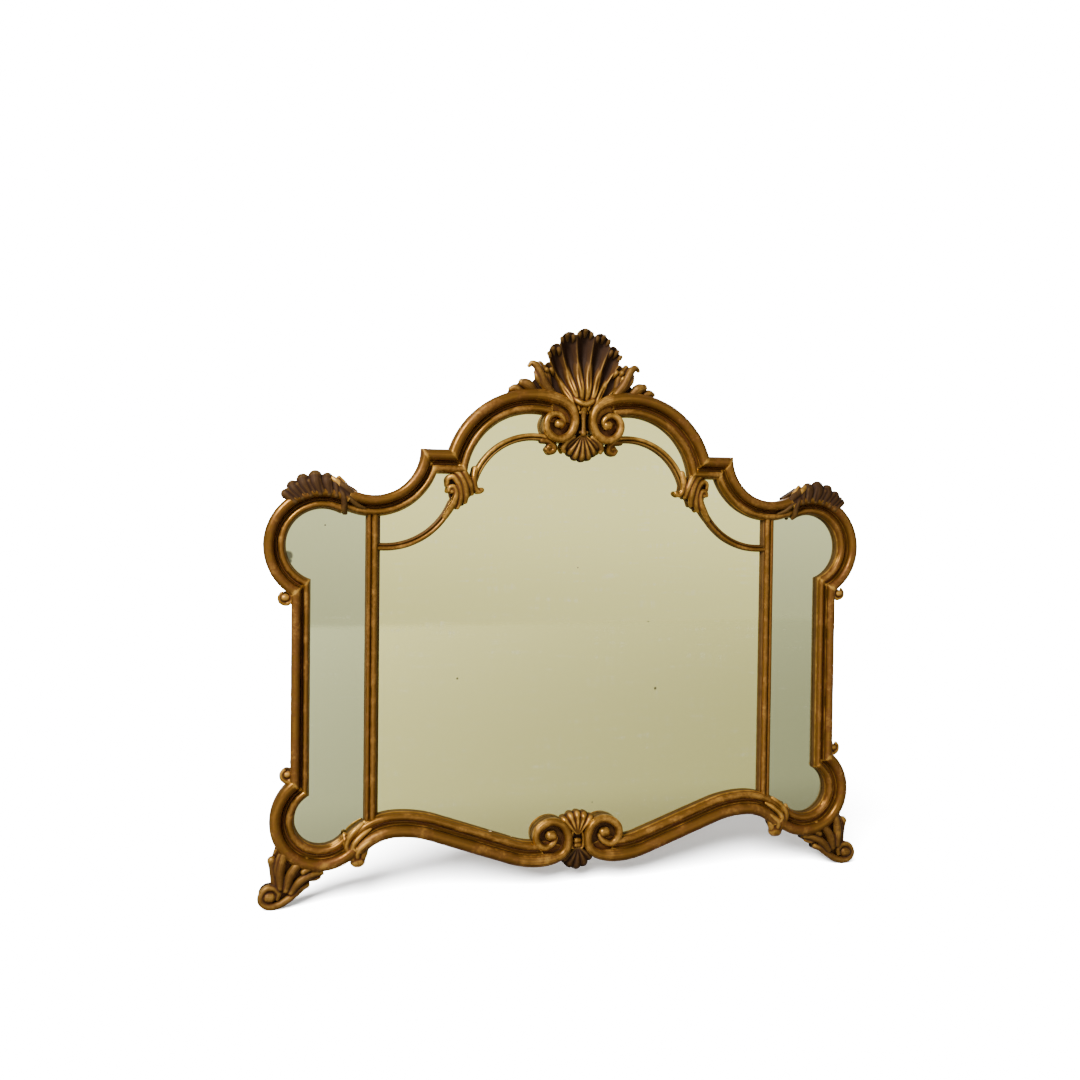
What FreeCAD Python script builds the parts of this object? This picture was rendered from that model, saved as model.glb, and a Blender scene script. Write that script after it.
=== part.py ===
import FreeCAD, Part
import math
import os

# Carved giltwood overmantel mirror, millimetres.
# X runs right, Y away from the viewer and Z up; the origin is the middle of the upper batten's wall face,
# which is level with the centres of the upper ears.
# Heights in the sheet run from the underside of the feet, depths run forward from the wall.

SIZES = {
    # Depths of the layers, from the wall forward
    "batten_thickness": 18,
    "board_thickness": 5,
    "glass_thickness": 4,
    "moulding_rise": 29,
    # Moulding section: outer roll, cove, inner bead and the rebate behind the bead
    "roll_radius": 9,
    "bead_radius": 4.5,
    "bead_drop": 9,
    "cove_sag": 4,
    "rebate_width": 8,
    "glass_clearance": 1,
    "plate_gap": 1,
    "board_overlap": 24,
    # Top arch, one half
    "arch_x_share": 0.241,
    "arch_drop": 58,
    "arch_radius_share": 0.436,
    "arch_width": 48,
    # Shoulder: hollow quarter round under the step
    "shoulder_inset": 93,
    "shoulder_rise": 186,
    "shoulder_radius": 90,
    "shoulder_width": 41,
    "step_width": 47,
    # Upper ear
    "ear_x": 508,
    "ear_height": 680,
    "ear_radius": 110,
    "ear_width": 42,
    # Stile
    "stile_outset": 58,
    "stile_width": 36,
    # Lower ear
    "low_ear_inset": 1,
    "low_ear_height": 163,
    "low_ear_radius": 97,
    "low_ear_width": 47,
    # Bottom rail: hump, slope and trough, measured on its lower edge
    "hump_inset": 141,
    "hump_drop": 43,
    "hump_outer_radius": 85,
    "hump_inner_share": 0.546,
    "trough_x_share": 0.232,
    "trough_drop": 77,
    "trough_share": 0.4945,
    "rail_width": 49,
    # Glazing bars
    "upright_inset": 1,
    "upright_width": 28,
    "upright_rise": 15,
    "upright_fillet": 3.5,
    "thin_arc_width": 15,
    "thin_arc_rise": 11,
    "upper_arc_inset": 2,
    "upper_arc_drop": 38,
    "upper_arc_margin": 55,
    "upper_arc_knob_radius": 11,
    "lower_arc_inset": 23,
    "lower_arc_drop": 49,
    "lower_arc_margin": 50,
    "margin_foot_drop": 66,
    # Crest
    "crest_volute_x": 50,
    "crest_volute_drop": 67,
    "crest_volute_radius": 38,
    "volute_rise": 35,
    "volute_roll_radius": 8,
    "volute_eye_radius": 14,
    "tablet_width": 28,
    "tablet_rise": 26,
    "crest_tablet_drop": 22,
    "crest_tablet_lift": 24,
    "shell_reach": 168,
    "shell_half_angle": 46,
    "shell_spread": 92,
    "shell_rise": 36,
    "shell_flute_radius": 15,
    "shell_flutes": 7,
    "carving_clearance": 0.5,
    "pendant_reach": 53,
    "pendant_half_width": 42,
    "pendant_half_angle": 55,
    "pendant_rise": 24,
    "small_fan_flute_radius": 10,
    "small_fan_flutes": 5,
    "flute_root_share": 0.3,
    "crest_leaf_curl_radius": 17,
    "crest_leaf_curl_x": 96,
    "crest_leaf_curl_lift": 107,
    "crest_bud_radius": 13,
    "crest_bud_x": 124,
    "crest_bud_lift": 76,
    "crest_tip_x": 142,
    "crest_tip_lift": 63,
    "crest_tip_radius": 9,
    "leaf_rise": 30,
    # Corner rocaille
    "rocaille_band": 20,
    "rocaille_lobe_radius": 16,
    "rocaille_rise": 30,
    "rocaille_start_angle": 126,
    "rocaille_lobe_angle": 13,
    "rocaille_lobes": 5,
    # Bottom cartouche
    "rail_volute_x": 55,
    "rail_volute_lift": 53,
    "rail_volute_radius": 43,
    "rail_shell_reach": 43,
    "rail_shell_half_width": 40,
    "rail_shell_half_angle": 45,
    "rail_tablet_drop": 28,
    "rail_tablet_lift": 16,
    "rail_pendant_reach": 39,
    "rail_pendant_half_width": 34,
    "rail_pendant_half_angle": 50,
    # Acanthus between arch and shoulder
    "acanthus_drop": 116,
    "acanthus_inset": 6,
    "acanthus_width": 72,
    "acanthus_rise": 19,
    # Scroll foot
    "foot_outset": 93,
    "foot_radius": 25,
    "foot_flat": 0.6,
    "foot_rise": 33,
    "foot_leaf_top_angle": 206,
    "foot_leaf_heel_angle": 290,
    "foot_leaf_inset": 7,
    "foot_leaf_step": 26,
    "foot_leaf_rise": 25,
    # Scroll knobs on the stiles and curl drops under the rail
    "knob_radius": 14,
    "knob_rise": 24,
    "upper_knob_outset": 10,
    "upper_knob_drop": 98,
    "lower_knob_outset": 5,
    "lower_knob_lift": 89,
    "drop_radius": 15,
    "drop_inset": 67,
    "drop_lowering": 82,
    "drop_rise": 25,
    # Back battens
    "batten_width": 60,
    "batten_end_margin": 4,
    # Fasteners
    "screw_radius": 2,
    "screw_length": 30,
    "screw_head_radius": 4,
    "screw_head_height": 2.4,
    "screw_inset": 10,
    "screw_spread": 32,
    "nail_radius": 1,
    "nail_length": 16,
    "nail_head_radius": 2.6,
    "nail_head_height": 1,
    "nail_spread": 90,
    "hole_clearance": 0.1,
    # Hanging straps and rings
    "strap_inset": 23,
    "strap_drop": 210,
    "strap_width": 16,
    "strap_length": 44,
    "strap_thickness": 1.5,
    "strap_screw_pitch": 16,
    "strap_screw_first": 17,
    "strap_screw_length": 14,
    "strap_screw_radius": 1.6,
    "strap_screw_head_radius": 3.2,
    "strap_screw_head_height": 1.4,
    "ring_wire_radius": 1.75,
    "ring_corner_radius": 5,
    "ring_bar_length": 22,
    "ring_drop": 8,
    "eye_clearance": 0.35,
    "eye_length": 14,
}

# Places and radii that follow from the sizes above
PLACES = {
    "shoulder_x": "ear_x - shoulder_inset",
    "shoulder_height": "ear_height + shoulder_rise",
    "arch_x": "arch_x_share * shoulder_x",
    "arch_height": "shoulder_height - arch_drop",
    "arch_radius": "arch_radius_share * shoulder_x",
    "stile_x": "ear_x + stile_outset",
    "low_ear_x": "ear_x - low_ear_inset",
    "hump_x": "low_ear_x - hump_inset",
    "hump_height": "low_ear_height - hump_drop",
    "hump_inner_radius": "hump_inner_share * hump_x",
    "trough_x": "trough_x_share * hump_x",
    "trough_height": "hump_height - trough_drop",
    "trough_radius": "trough_share * hump_x",
    "upright_x": "shoulder_x - upright_inset",
    "upper_arc_x": "arch_x - upper_arc_inset",
    "upper_arc_height": "arch_height - upper_arc_drop",
    "upper_arc_radius": "arch_radius - upper_arc_margin",
    "lower_arc_x": "shoulder_x - lower_arc_inset",
    "lower_arc_height": "shoulder_height - lower_arc_drop",
    "lower_arc_radius": "shoulder_radius + lower_arc_margin",
    "margin_foot_height": "shoulder_height - margin_foot_drop",
    "crest_volute_height": "arch_height + arch_radius - crest_volute_drop",
    "crest_tablet_foot": "crest_volute_height - crest_tablet_drop",
    "crest_tablet_tip": "crest_volute_height + crest_tablet_lift",
    "crest_tip": "crest_tablet_tip + shell_reach",
    "pendant_tip": "crest_tablet_foot - pendant_reach",
    "crest_leaf_curl_height": "crest_volute_height + crest_leaf_curl_lift",
    "crest_bud_height": "crest_volute_height + crest_bud_lift",
    "crest_tip_height": "crest_volute_height + crest_tip_lift",
    "rail_volute_height": "trough_height + rail_volute_lift",
    "rail_tablet_foot": "rail_volute_height - rail_tablet_drop",
    "rail_tablet_tip": "rail_volute_height + rail_tablet_lift",
    "rail_shell_tip": "rail_tablet_tip + rail_shell_reach",
    "rail_pendant_tip": "rail_tablet_foot - rail_pendant_reach",
    "acanthus_tip": "shoulder_height - acanthus_drop",
    "acanthus_left_x": "arch_x + arch_radius - acanthus_inset",
    "acanthus_right_x": "acanthus_left_x - acanthus_width",
    "foot_x": "low_ear_x + foot_outset",
    "foot_leaf_inner_x": "low_ear_x - foot_leaf_inset",
    "upper_knob_x": "stile_x + upper_knob_outset",
    "upper_knob_height": "ear_height - upper_knob_drop",
    "lower_knob_x": "stile_x + lower_knob_outset",
    "lower_knob_height": "low_ear_height + lower_knob_lift",
    "drop_x": "low_ear_x - drop_inset",
    "drop_height": "low_ear_height - drop_lowering",
    "strap_x": "stile_x - strap_inset",
    "strap_height": "ear_height - strap_drop",
}

FORWARD = FreeCAD.Vector(0, -1, 0)
UP = FreeCAD.Vector(0, 0, 1)
RIGHT = FreeCAD.Vector(1, 0, 0)

doc = FreeCAD.newDocument("overmantel_mirror")
sheet = doc.addObject("Spreadsheet::Sheet", "sizes")
cells = list(SIZES.items()) + [(alias, "=" + formula) for alias, formula in PLACES.items()]
for row, (alias, content) in enumerate(cells, start=1):
    sheet.set("A%d" % row, alias)
    sheet.setAlias("B%d" % row, alias)
for row, (alias, content) in enumerate(cells, start=1):
    sheet.set("B%d" % row, str(content))
doc.recompute()


def size(alias):
    """Value of one driving dimension, read from the sheet."""
    return float(sheet.get(alias))


# Depths of the layers
FRAME_BACK = size("batten_thickness") + size("board_thickness")
GLASS_FRONT = FRAME_BACK + size("glass_thickness")
FRAME_FRONT = GLASS_FRONT + size("moulding_rise")
DEEPEST = FRAME_FRONT + size("volute_rise")

# Centres of the left half's arcs
ARCH = (-size("arch_x"), size("arch_height"))
SHOULDER = (-size("shoulder_x"), size("shoulder_height"))
EAR = (-size("ear_x"), size("ear_height"))
LOW_EAR = (-size("low_ear_x"), size("low_ear_height"))
HUMP_OUTER = (-size("hump_x"), size("hump_height") - size("hump_outer_radius"))
HUMP_INNER = (-size("hump_x"), size("hump_height") - size("hump_inner_radius"))
TROUGH = (-size("trough_x"), size("trough_height") + size("trough_radius"))
UPPER_ARC = (-size("upper_arc_x"), size("upper_arc_height"))
LOWER_ARC = (-size("lower_arc_x"), size("lower_arc_height"))
CREST_VOLUTE = (-size("crest_volute_x"), size("crest_volute_height"))
RAIL_VOLUTE = (-size("rail_volute_x"), size("rail_volute_height"))

# Sight radii and sight lines
ARCH_SIGHT = size("arch_radius") - size("arch_width")
SHOULDER_SIGHT = size("shoulder_radius") + size("shoulder_width")
EAR_SIGHT = size("ear_radius") - size("ear_width")
LOW_EAR_SIGHT = size("low_ear_radius") - size("low_ear_width")
STILE_SIGHT = -(size("stile_x") - size("stile_width"))
STEP_TOP = size("shoulder_height")
STEP_SIGHT = STEP_TOP - size("step_width")
REACH = 2 * (size("ear_x") + size("ear_radius"))


def at(point, depth):
    """Vector of a point (x, height) of the front view at a depth from the wall."""
    return FreeCAD.Vector(point[0], -depth, point[1])


def polar(centre, radius, degrees):
    """Point of the front view at an angle on a circle."""
    angle = math.radians(degrees)
    return (centre[0] + radius * math.cos(angle), centre[1] + radius * math.sin(angle))


def heading(start, end):
    """Direction in degrees from one point of the front view to another."""
    return math.degrees(math.atan2(end[1] - start[1], end[0] - start[0]))


def along_line(start, end, share):
    """Point at a share of the way between two points of the front view."""
    return (start[0] + share * (end[0] - start[0]), start[1] + share * (end[1] - start[1]))


def flip(point):
    """The same point on the other half."""
    return (-point[0], point[1])


def line(start, end):
    return Part.LineSegment(start, end).toShape()


def arc(start, middle, end):
    return Part.Arc(start, middle, end).toShape()


def block(points, low, high):
    """Flat block with a straight-sided outline, between two depths."""
    corners = [at(point, low) for point in points]
    face = Part.Face(Part.makePolygon(corners + corners[:1]))
    return face.extrude(FORWARD * (high - low))


def disc(centre, radius, low, high):
    """Round block facing forward, between two depths."""
    return Part.makeCylinder(radius, high - low, at(centre, low), FORWARD)


def lathe(centre, edges):
    """Round carving facing forward, turned from a closed section about its centre."""
    face = Part.Face(Part.Wire(edges))
    return face.revolve(at(centre, 0), FORWARD, 360)


def cap_middle(radius, rise):
    """Half-way point (out, up) on a ball-shaped cap of a given radius and rise."""
    ball = (radius ** 2 + rise ** 2) / (2 * rise)
    angle = math.asin(min(1, radius / ball)) / 2
    return (ball * math.sin(angle), rise - ball * (1 - math.cos(angle)))


def boss(centre, radius, low, high):
    """Round boss whose front is a cushion a third of its radius deep."""
    cushion = radius / 3
    out, up = cap_middle(radius, cushion)
    brim = high - cushion

    def place(distance, depth):
        return at((centre[0] + distance, centre[1]), depth)

    return lathe(centre, [
        line(place(0, low), place(radius, low)),
        line(place(radius, low), place(radius, brim)),
        arc(place(radius, brim), place(out, brim + up), place(0, high)),
        line(place(0, high), place(0, low)),
    ])


def left_of(start, end):
    """Endless block on the left of the line from start to end, seen from the front."""
    span = math.hypot(end[0] - start[0], end[1] - start[1])
    along = ((end[0] - start[0]) / span * REACH, (end[1] - start[1]) / span * REACH)
    side = (-along[1], along[0])
    low = (start[0] - along[0], start[1] - along[1])
    high = (end[0] + along[0], end[1] + along[1])
    corners = [low, high, (high[0] + side[0], high[1] + side[1]), (low[0] + side[0], low[1] + side[1])]
    return block(corners, -DEEPEST, 2 * DEEPEST)


def trimmed(shape, *lines):
    """The part of a shape that lies on the left of every line."""
    for start, end in lines:
        shape = shape.common(left_of(start, end))
    return shape


def without(shape, *others):
    """A shape with other shapes taken out of it."""
    for other in others:
        shape = shape.cut(other)
    return shape


def largest(shape):
    """The main solid of a shape, without the crumbs that a cut left beside it."""
    return max(shape.Solids, key=lambda solid: solid.Volume)


def joined(shapes):
    """Several touching shapes as one clean solid."""
    return shapes[0].multiFuse(shapes[1:]).removeSplitter()


def crossing(centre, radius, x=None, height=None, sign=1):
    """Point where a circle crosses an upright or a level line, on the given side."""
    if x is not None:
        return (x, centre[1] + sign * math.sqrt(radius ** 2 - (x - centre[0]) ** 2))
    return (centre[0] + sign * math.sqrt(radius ** 2 - (height - centre[1]) ** 2), height)


# Moulding: outer roll, cove, inner bead, and a rebate behind the bead

def moulding_face(width, place):
    """Moulding section; place(across, depth) sets a point, with across running out from the sight edge."""
    roll = size("roll_radius")
    bead = size("bead_radius")
    rebate = size("rebate_width")
    roll_level = FRAME_FRONT - roll
    bead_level = roll_level - size("bead_drop")
    cove_outer = width - 2 * roll
    cove_inner = 2 * bead
    cove_level = (roll_level + bead_level) / 2 - size("cove_sag")
    return Part.Face(Part.Wire([
        line(place(width, FRAME_BACK), place(width, roll_level)),
        arc(place(width, roll_level), place(width - roll, FRAME_FRONT), place(cove_outer, roll_level)),
        arc(place(cove_outer, roll_level), place((cove_outer + cove_inner) / 2, cove_level),
            place(cove_inner, bead_level)),
        arc(place(cove_inner, bead_level), place(bead, bead_level + bead), place(0, bead_level)),
        line(place(0, bead_level), place(0, GLASS_FRONT)),
        line(place(0, GLASS_FRONT), place(rebate, GLASS_FRONT)),
        line(place(rebate, GLASS_FRONT), place(rebate, FRAME_BACK)),
        line(place(rebate, FRAME_BACK), place(width, FRAME_BACK)),
    ]))


def turned_moulding(width, centre, sight_radius, outward, start, end):
    """Moulding along an arc; outward is 1 where its outer edge is the longer one and -1 where it is not."""
    def place(across, depth):
        return at(polar(centre, sight_radius + outward * across, start), depth)

    return moulding_face(width, place).revolve(at(centre, 0), FORWARD, end - start)


def straight_moulding(width, start, end, outer):
    """Moulding along a straight sight edge; outer is the direction of its outer edge in degrees."""
    def place(across, depth):
        return at(polar(start, across, outer), depth)

    return moulding_face(width, place).extrude(at(end, 0) - at(start, 0))


# Corners of the left half where two mouldings meet
EAR_JOINT = heading(EAR, SHOULDER)
STEP_CORNER = (SHOULDER[0] + size("shoulder_radius"), STEP_TOP)
STEP_SIGHT_CORNER = crossing(SHOULDER, SHOULDER_SIGHT, height=STEP_SIGHT)
ARCH_CORNER = crossing(ARCH, size("arch_radius"), height=STEP_TOP, sign=-1)
ARCH_SIGHT_CORNER = crossing(ARCH, ARCH_SIGHT, height=STEP_SIGHT, sign=-1)
EAR_CORNER = crossing(EAR, size("ear_radius"), x=-size("stile_x"), sign=-1)
EAR_SIGHT_CORNER = crossing(EAR, EAR_SIGHT, x=STILE_SIGHT, sign=-1)
LOW_CORNER = crossing(LOW_EAR, size("low_ear_radius"), x=-size("stile_x"))
LOW_SIGHT_CORNER = crossing(LOW_EAR, LOW_EAR_SIGHT, x=STILE_SIGHT)

# Slope of the bottom rail: the line that touches the hump's inner round and the trough
HUMP_TO_TROUGH = (TROUGH[0] - HUMP_INNER[0], TROUGH[1] - HUMP_INNER[1])
SLOPE = math.degrees(
    math.atan2(HUMP_TO_TROUGH[0], HUMP_TO_TROUGH[1])
    - math.acos((size("hump_inner_radius") + size("trough_radius")) / math.hypot(*HUMP_TO_TROUGH))
)
LOW_EAR_JOINT = heading(LOW_EAR, HUMP_OUTER)
SHALLOW = 20  # degrees a round moulding runs past its joint before it is trimmed


def rail_line(up):
    """Edges of the line that runs a distance above the rail's lower edge, from the ear to the middle."""
    outer = size("hump_outer_radius") + up
    inner = size("hump_inner_radius") + up
    trough = size("trough_radius") - up
    end_angle = 180 + LOW_EAR_JOINT
    corners = [
        polar(HUMP_OUTER, outer, end_angle),
        polar(HUMP_INNER, inner, 90),
        polar(HUMP_INNER, inner, 90 - SLOPE),
        polar(TROUGH, trough, 270 - SLOPE),
        crossing(TROUGH, trough, x=0, sign=-1),
    ]
    middle_angle = (270 - SLOPE + heading(TROUGH, corners[4]) + 360) / 2
    middles = [
        polar(HUMP_OUTER, outer, (end_angle + 90) / 2),
        polar(HUMP_INNER, inner, 90 - SLOPE / 2),
        None,
        polar(TROUGH, trough, middle_angle),
    ]
    return corners, middles


def below_rail_line(up, low, high):
    """Block of everything under the line a distance above the rail's lower edge, left half."""
    corners, middles = rail_line(up)
    edges = []
    for start, middle, end in zip(corners, middles, corners[1:]):
        if middle is None:
            edges.append(line(at(start, low), at(end, low)))
        else:
            edges.append(arc(at(start, low), at(middle, low), at(end, low)))
    base = -size("foot_radius")
    floor = [corners[-1], (0, base), (LOW_EAR[0], base), LOW_EAR, corners[0]]
    for start, end in zip(floor, floor[1:]):
        edges.append(line(at(start, low), at(end, low)))
    return Part.Face(Part.Wire(edges)).extrude(FORWARD * (high - low))


def glazed_block(overlap, low, high):
    """Block that covers the whole sight opening and runs a distance under the frame."""
    half = [HUMP_OUTER, LOW_EAR, EAR, SHOULDER]
    outline = half + [flip(point) for point in reversed(half)]
    field = block(outline, low, high)
    top = STEP_SIGHT + overlap
    field = field.common(block([(-REACH, -REACH), (REACH, -REACH), (REACH, top), (-REACH, top)], low, high))
    left = below_rail_line(size("rail_width") - overlap, low, high)
    hollow = disc(SHOULDER, SHOULDER_SIGHT - overlap, low, high)
    field = without(field, left, mirrored(left), hollow, mirrored(hollow))
    stile = STILE_SIGHT - overlap
    lobes = [
        disc(ARCH, ARCH_SIGHT + overlap, low, high),
        disc(EAR, EAR_SIGHT + overlap, low, high),
        disc(LOW_EAR, LOW_EAR_SIGHT + overlap, low, high),
        block([(stile, LOW_EAR[1]), (LOW_EAR[0] + overlap, LOW_EAR[1]), (EAR[0] + overlap, EAR[1]),
               (stile, EAR[1])], low, high),
    ]
    return joined([field] + lobes + [mirrored(lobe) for lobe in lobes])


def mirrored(shape):
    """The same shape on the right half."""
    return shape.mirror(FreeCAD.Vector(0, 0, 0), RIGHT)


# Document objects

NODES = []


def down_to_origin():
    """Placement that brings heights above the feet to heights above the origin."""
    return FreeCAD.Placement(FreeCAD.Vector(0, 0, -size("ear_height")), FreeCAD.Rotation())


def carve(label, shape):
    """Sub-part whose form is cut freely from one block of wood or glass."""
    node = doc.addObject("Part::Feature", label)
    node.Label = label
    node.Shape = shape
    node.Placement = down_to_origin()
    NODES.append(node)
    return node


def carve_pair(label, shape):
    """Left sub-part and its mirror image on the right."""
    mirror_pair(label, carve(label + "_left", shape))


def mirror_pair(label, left):
    """Right-hand mirror image of a left-hand sub-part."""
    right = doc.addObject("Part::Mirroring", label + "_right")
    right.Label = label + "_right"
    right.Source = left
    right.Base = FreeCAD.Vector(0, 0, 0)
    right.Normal = RIGHT
    NODES.append(right)


def bind(node, **expressions):
    """Tie properties of an object to cells of the sheet; double underscores stand for dots."""
    for name, expression in expressions.items():
        node.setExpression(name.replace("__", "."), expression)


def primitive(kind, label, x, depth, height, **expressions):
    """Part primitive bound to the sheet; depth runs from the wall and height from the feet."""
    node = doc.addObject(kind, label)
    bind(node, Placement__Base__x=x, Placement__Base__y="-(%s)" % depth,
         Placement__Base__z="%s - sizes.ear_height" % height, **expressions)
    return node


def combined(kind, label, **links):
    """Boolean of other objects."""
    node = doc.addObject(kind, label)
    for name, value in links.items():
        setattr(node, name, value)
    return node


def keep(node, label):
    """Mark an object as a finished sub-part."""
    node.Label = label
    NODES.append(node)
    return node


# Carved forms

def volute(centre, radius):
    """Round scroll end: outer roll, sunk ring and raised eye."""
    top = GLASS_FRONT + size("volute_rise")
    roll = size("volute_roll_radius")
    eye = size("volute_eye_radius")
    groove = top - roll
    eye_out, eye_up = cap_middle(eye, roll)

    def place(out, depth):
        return at((centre[0] + out, centre[1]), depth)

    return lathe(centre, [
        line(place(0, GLASS_FRONT), place(radius, GLASS_FRONT)),
        line(place(radius, GLASS_FRONT), place(radius, groove)),
        arc(place(radius, groove), place(radius - roll, top), place(radius - 2 * roll, groove)),
        line(place(radius - 2 * roll, groove), place(eye, groove)),
        arc(place(eye, groove), place(eye_out, groove + eye_up), place(0, top)),
        line(place(0, top), place(0, GLASS_FRONT)),
    ])


def fan_tips(foot, reach, spread, middle, half_angle, count, tip_radius):
    """Ends of a fan's flutes on an ellipse: reach along the middle direction, spread across it."""
    tips = []
    for index in range(int(count)):
        turn = half_angle * (2 * index / (count - 1) - 1)
        radians = math.radians(turn)
        length = 1 / math.hypot(math.cos(radians) / reach, math.sin(radians) / spread)
        tips.append(polar(foot, length - tip_radius, middle - turn))
    return tips


def flute(start, end, root_radius, tip_radius):
    """Tapered round flute with a ball end."""
    along = (end - start).normalize()
    out = along.cross(FORWARD).normalize()
    diagonal = (along + out).normalize()
    section = Part.Face(Part.Wire([
        line(start, start + out * root_radius),
        line(start + out * root_radius, end + out * tip_radius),
        arc(end + out * tip_radius, end + diagonal * tip_radius, end + along * tip_radius),
        line(end + along * tip_radius, start),
    ]))
    return section.revolve(start, along, 360)


def fan(foot, tips, low, rise, tip_radius):
    """Fluted shell, a flat leaf with a round flute out to each tip, and the block it is let into."""
    root_radius = tip_radius / 3
    web = low + rise / 2
    free = size("carving_clearance")
    pieces = [block([foot] + tips, low, web)]
    seat = [block([foot] + tips, low, DEEPEST)]
    for tip in tips:
        root = along_line(foot, tip, size("flute_root_share"))
        pieces.append(flute(at(root, web), at(tip, low + rise - tip_radius), root_radius, tip_radius))
        pieces.append(disc(tip, tip_radius / 2, low, web))
        side = heading(foot, tip) + 90
        root_side = root_radius + free
        tip_side = tip_radius + free
        seat.append(disc(tip, tip_side, low, DEEPEST))
        seat.append(block([polar(foot, root_side, side), polar(tip, tip_side, side),
                           polar(tip, -tip_side, side), polar(foot, -root_side, side)], low, DEEPEST))
    return joined(pieces), joined(seat)


def tablet_outline(foot, tip):
    """Outline of the small tablet between a pair of volutes."""
    half = size("tablet_width") / 2
    return [(-half, foot), (half, foot), (half, tip), (-half, tip)]


def small_fan(foot, tip, half_width, middle, half_angle):
    """Small fan on the glass and the block it is let into; middle is the direction it points."""
    radius = size("small_fan_flute_radius")
    reach = abs(tip - foot[1])
    tips = fan_tips(foot, reach, half_width, middle, half_angle, size("small_fan_flutes"), radius)
    return fan(foot, tips, GLASS_FRONT, size("pendant_rise"), radius)


# Crest volutes, tablet and pendant shell
crest_scroll = volute(CREST_VOLUTE, size("crest_volute_radius"))
crest_disc = disc(CREST_VOLUTE, size("crest_volute_radius"), GLASS_FRONT, DEEPEST)
tablet_top = GLASS_FRONT + size("tablet_rise")
crest_tablet_face = tablet_outline(size("crest_tablet_foot"), size("crest_tablet_tip"))
crest_tablet_print = block(crest_tablet_face, GLASS_FRONT, DEEPEST)
crest_tablet = without(block(crest_tablet_face, GLASS_FRONT, tablet_top), crest_disc, mirrored(crest_disc))
pendant, pendant_print = small_fan((0, size("crest_tablet_foot")), size("pendant_tip"),
                                   size("pendant_half_width"), -90, size("pendant_half_angle"))
crest_pendant = without(pendant, crest_disc, mirrored(crest_disc), crest_tablet_print)

# Bottom cartouche: volutes, tablet, fan shell and leafy pendant
rail_scroll = volute(RAIL_VOLUTE, size("rail_volute_radius"))
rail_disc = disc(RAIL_VOLUTE, size("rail_volute_radius"), GLASS_FRONT, DEEPEST)
rail_tablet_face = tablet_outline(size("rail_tablet_foot"), size("rail_tablet_tip"))
rail_tablet_print = block(rail_tablet_face, GLASS_FRONT, DEEPEST)
rail_tablet = without(block(rail_tablet_face, GLASS_FRONT, tablet_top), rail_disc, mirrored(rail_disc))
rail_fan, rail_fan_print = small_fan((0, size("rail_tablet_tip")), size("rail_shell_tip"),
                                     size("rail_shell_half_width"), 90, size("rail_shell_half_angle"))
rail_shell = without(rail_fan, rail_disc, mirrored(rail_disc), rail_tablet_print)
rail_leaf, rail_leaf_print = small_fan((0, size("rail_tablet_foot")), size("rail_pendant_tip"),
                                       size("rail_pendant_half_width"), -90, size("rail_pendant_half_angle"))
rail_pendant = without(rail_leaf, rail_disc, mirrored(rail_disc), rail_tablet_print)

# Frame mouldings, left half; the carvings are let into them
MIDDLE = ((0, 0), (0, REACH))
STEP_MITRE = (STEP_CORNER, STEP_SIGHT_CORNER)
ARCH_MITRE = (ARCH_CORNER, ARCH_SIGHT_CORNER)
UPPER_MITRE = (EAR_CORNER, EAR_SIGHT_CORNER)
LOWER_MITRE = (LOW_CORNER, LOW_SIGHT_CORNER)


def back_to_front(line_pair):
    """The same cutting line, keeping its other side."""
    return (line_pair[1], line_pair[0])


arch_start = heading(ARCH, (0, ARCH[1] + ARCH_SIGHT)) - SHALLOW
arch = turned_moulding(size("arch_width"), ARCH, ARCH_SIGHT, 1, arch_start, 180)
arch = trimmed(arch, MIDDLE, ARCH_MITRE)
arch = largest(without(arch, crest_disc, crest_tablet_print, pendant_print))

shoulder = turned_moulding(size("shoulder_width"), SHOULDER, SHOULDER_SIGHT, -1, EAR_JOINT - 180, SHALLOW)
shoulder = trimmed(shoulder, back_to_front(STEP_MITRE))
step_start = (STEP_CORNER[0], STEP_SIGHT)
step_end = (ARCH_SIGHT_CORNER[0], STEP_SIGHT)
step = straight_moulding(size("step_width"), step_start, step_end, 90)
step = trimmed(step, STEP_MITRE, back_to_front(ARCH_MITRE))

ear = turned_moulding(size("ear_width"), EAR, EAR_SIGHT, 1, EAR_JOINT, 270)
ear = trimmed(ear, UPPER_MITRE)

stile = straight_moulding(size("stile_width"), (STILE_SIGHT, LOW_EAR[1]), (STILE_SIGHT, EAR[1]), 180)
stile = trimmed(stile, back_to_front(UPPER_MITRE), LOWER_MITRE)

low_ear = turned_moulding(size("low_ear_width"), LOW_EAR, LOW_EAR_SIGHT, 1, 90, 360 + LOW_EAR_JOINT)
low_ear = trimmed(low_ear, back_to_front(LOWER_MITRE))

rail_width = size("rail_width")
rail_corners = rail_line(rail_width)[0]
trough_sight = size("trough_radius") - rail_width
hump_outer_sight = size("hump_outer_radius") + rail_width
trough_moulding = turned_moulding(rail_width, TROUGH, trough_sight, 1, 270 - SLOPE, 360)
rail = joined([
    turned_moulding(rail_width, HUMP_OUTER, hump_outer_sight, -1, 90, 180 + LOW_EAR_JOINT),
    turned_moulding(rail_width, HUMP_INNER, size("hump_inner_radius") + rail_width, -1, 90 - SLOPE, 90),
    straight_moulding(rail_width, rail_corners[2], rail_corners[3], 270 - SLOPE),
    trimmed(trough_moulding, MIDDLE),
])
rail_body = below_rail_line(rail_width, FRAME_BACK, DEEPEST).cut(below_rail_line(0, FRAME_BACK, DEEPEST))
rail = largest(without(rail, rail_disc, rail_tablet_print, rail_fan_print, rail_leaf_print))

# Glazing bars: half-round arcs that lie on the glass

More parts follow.
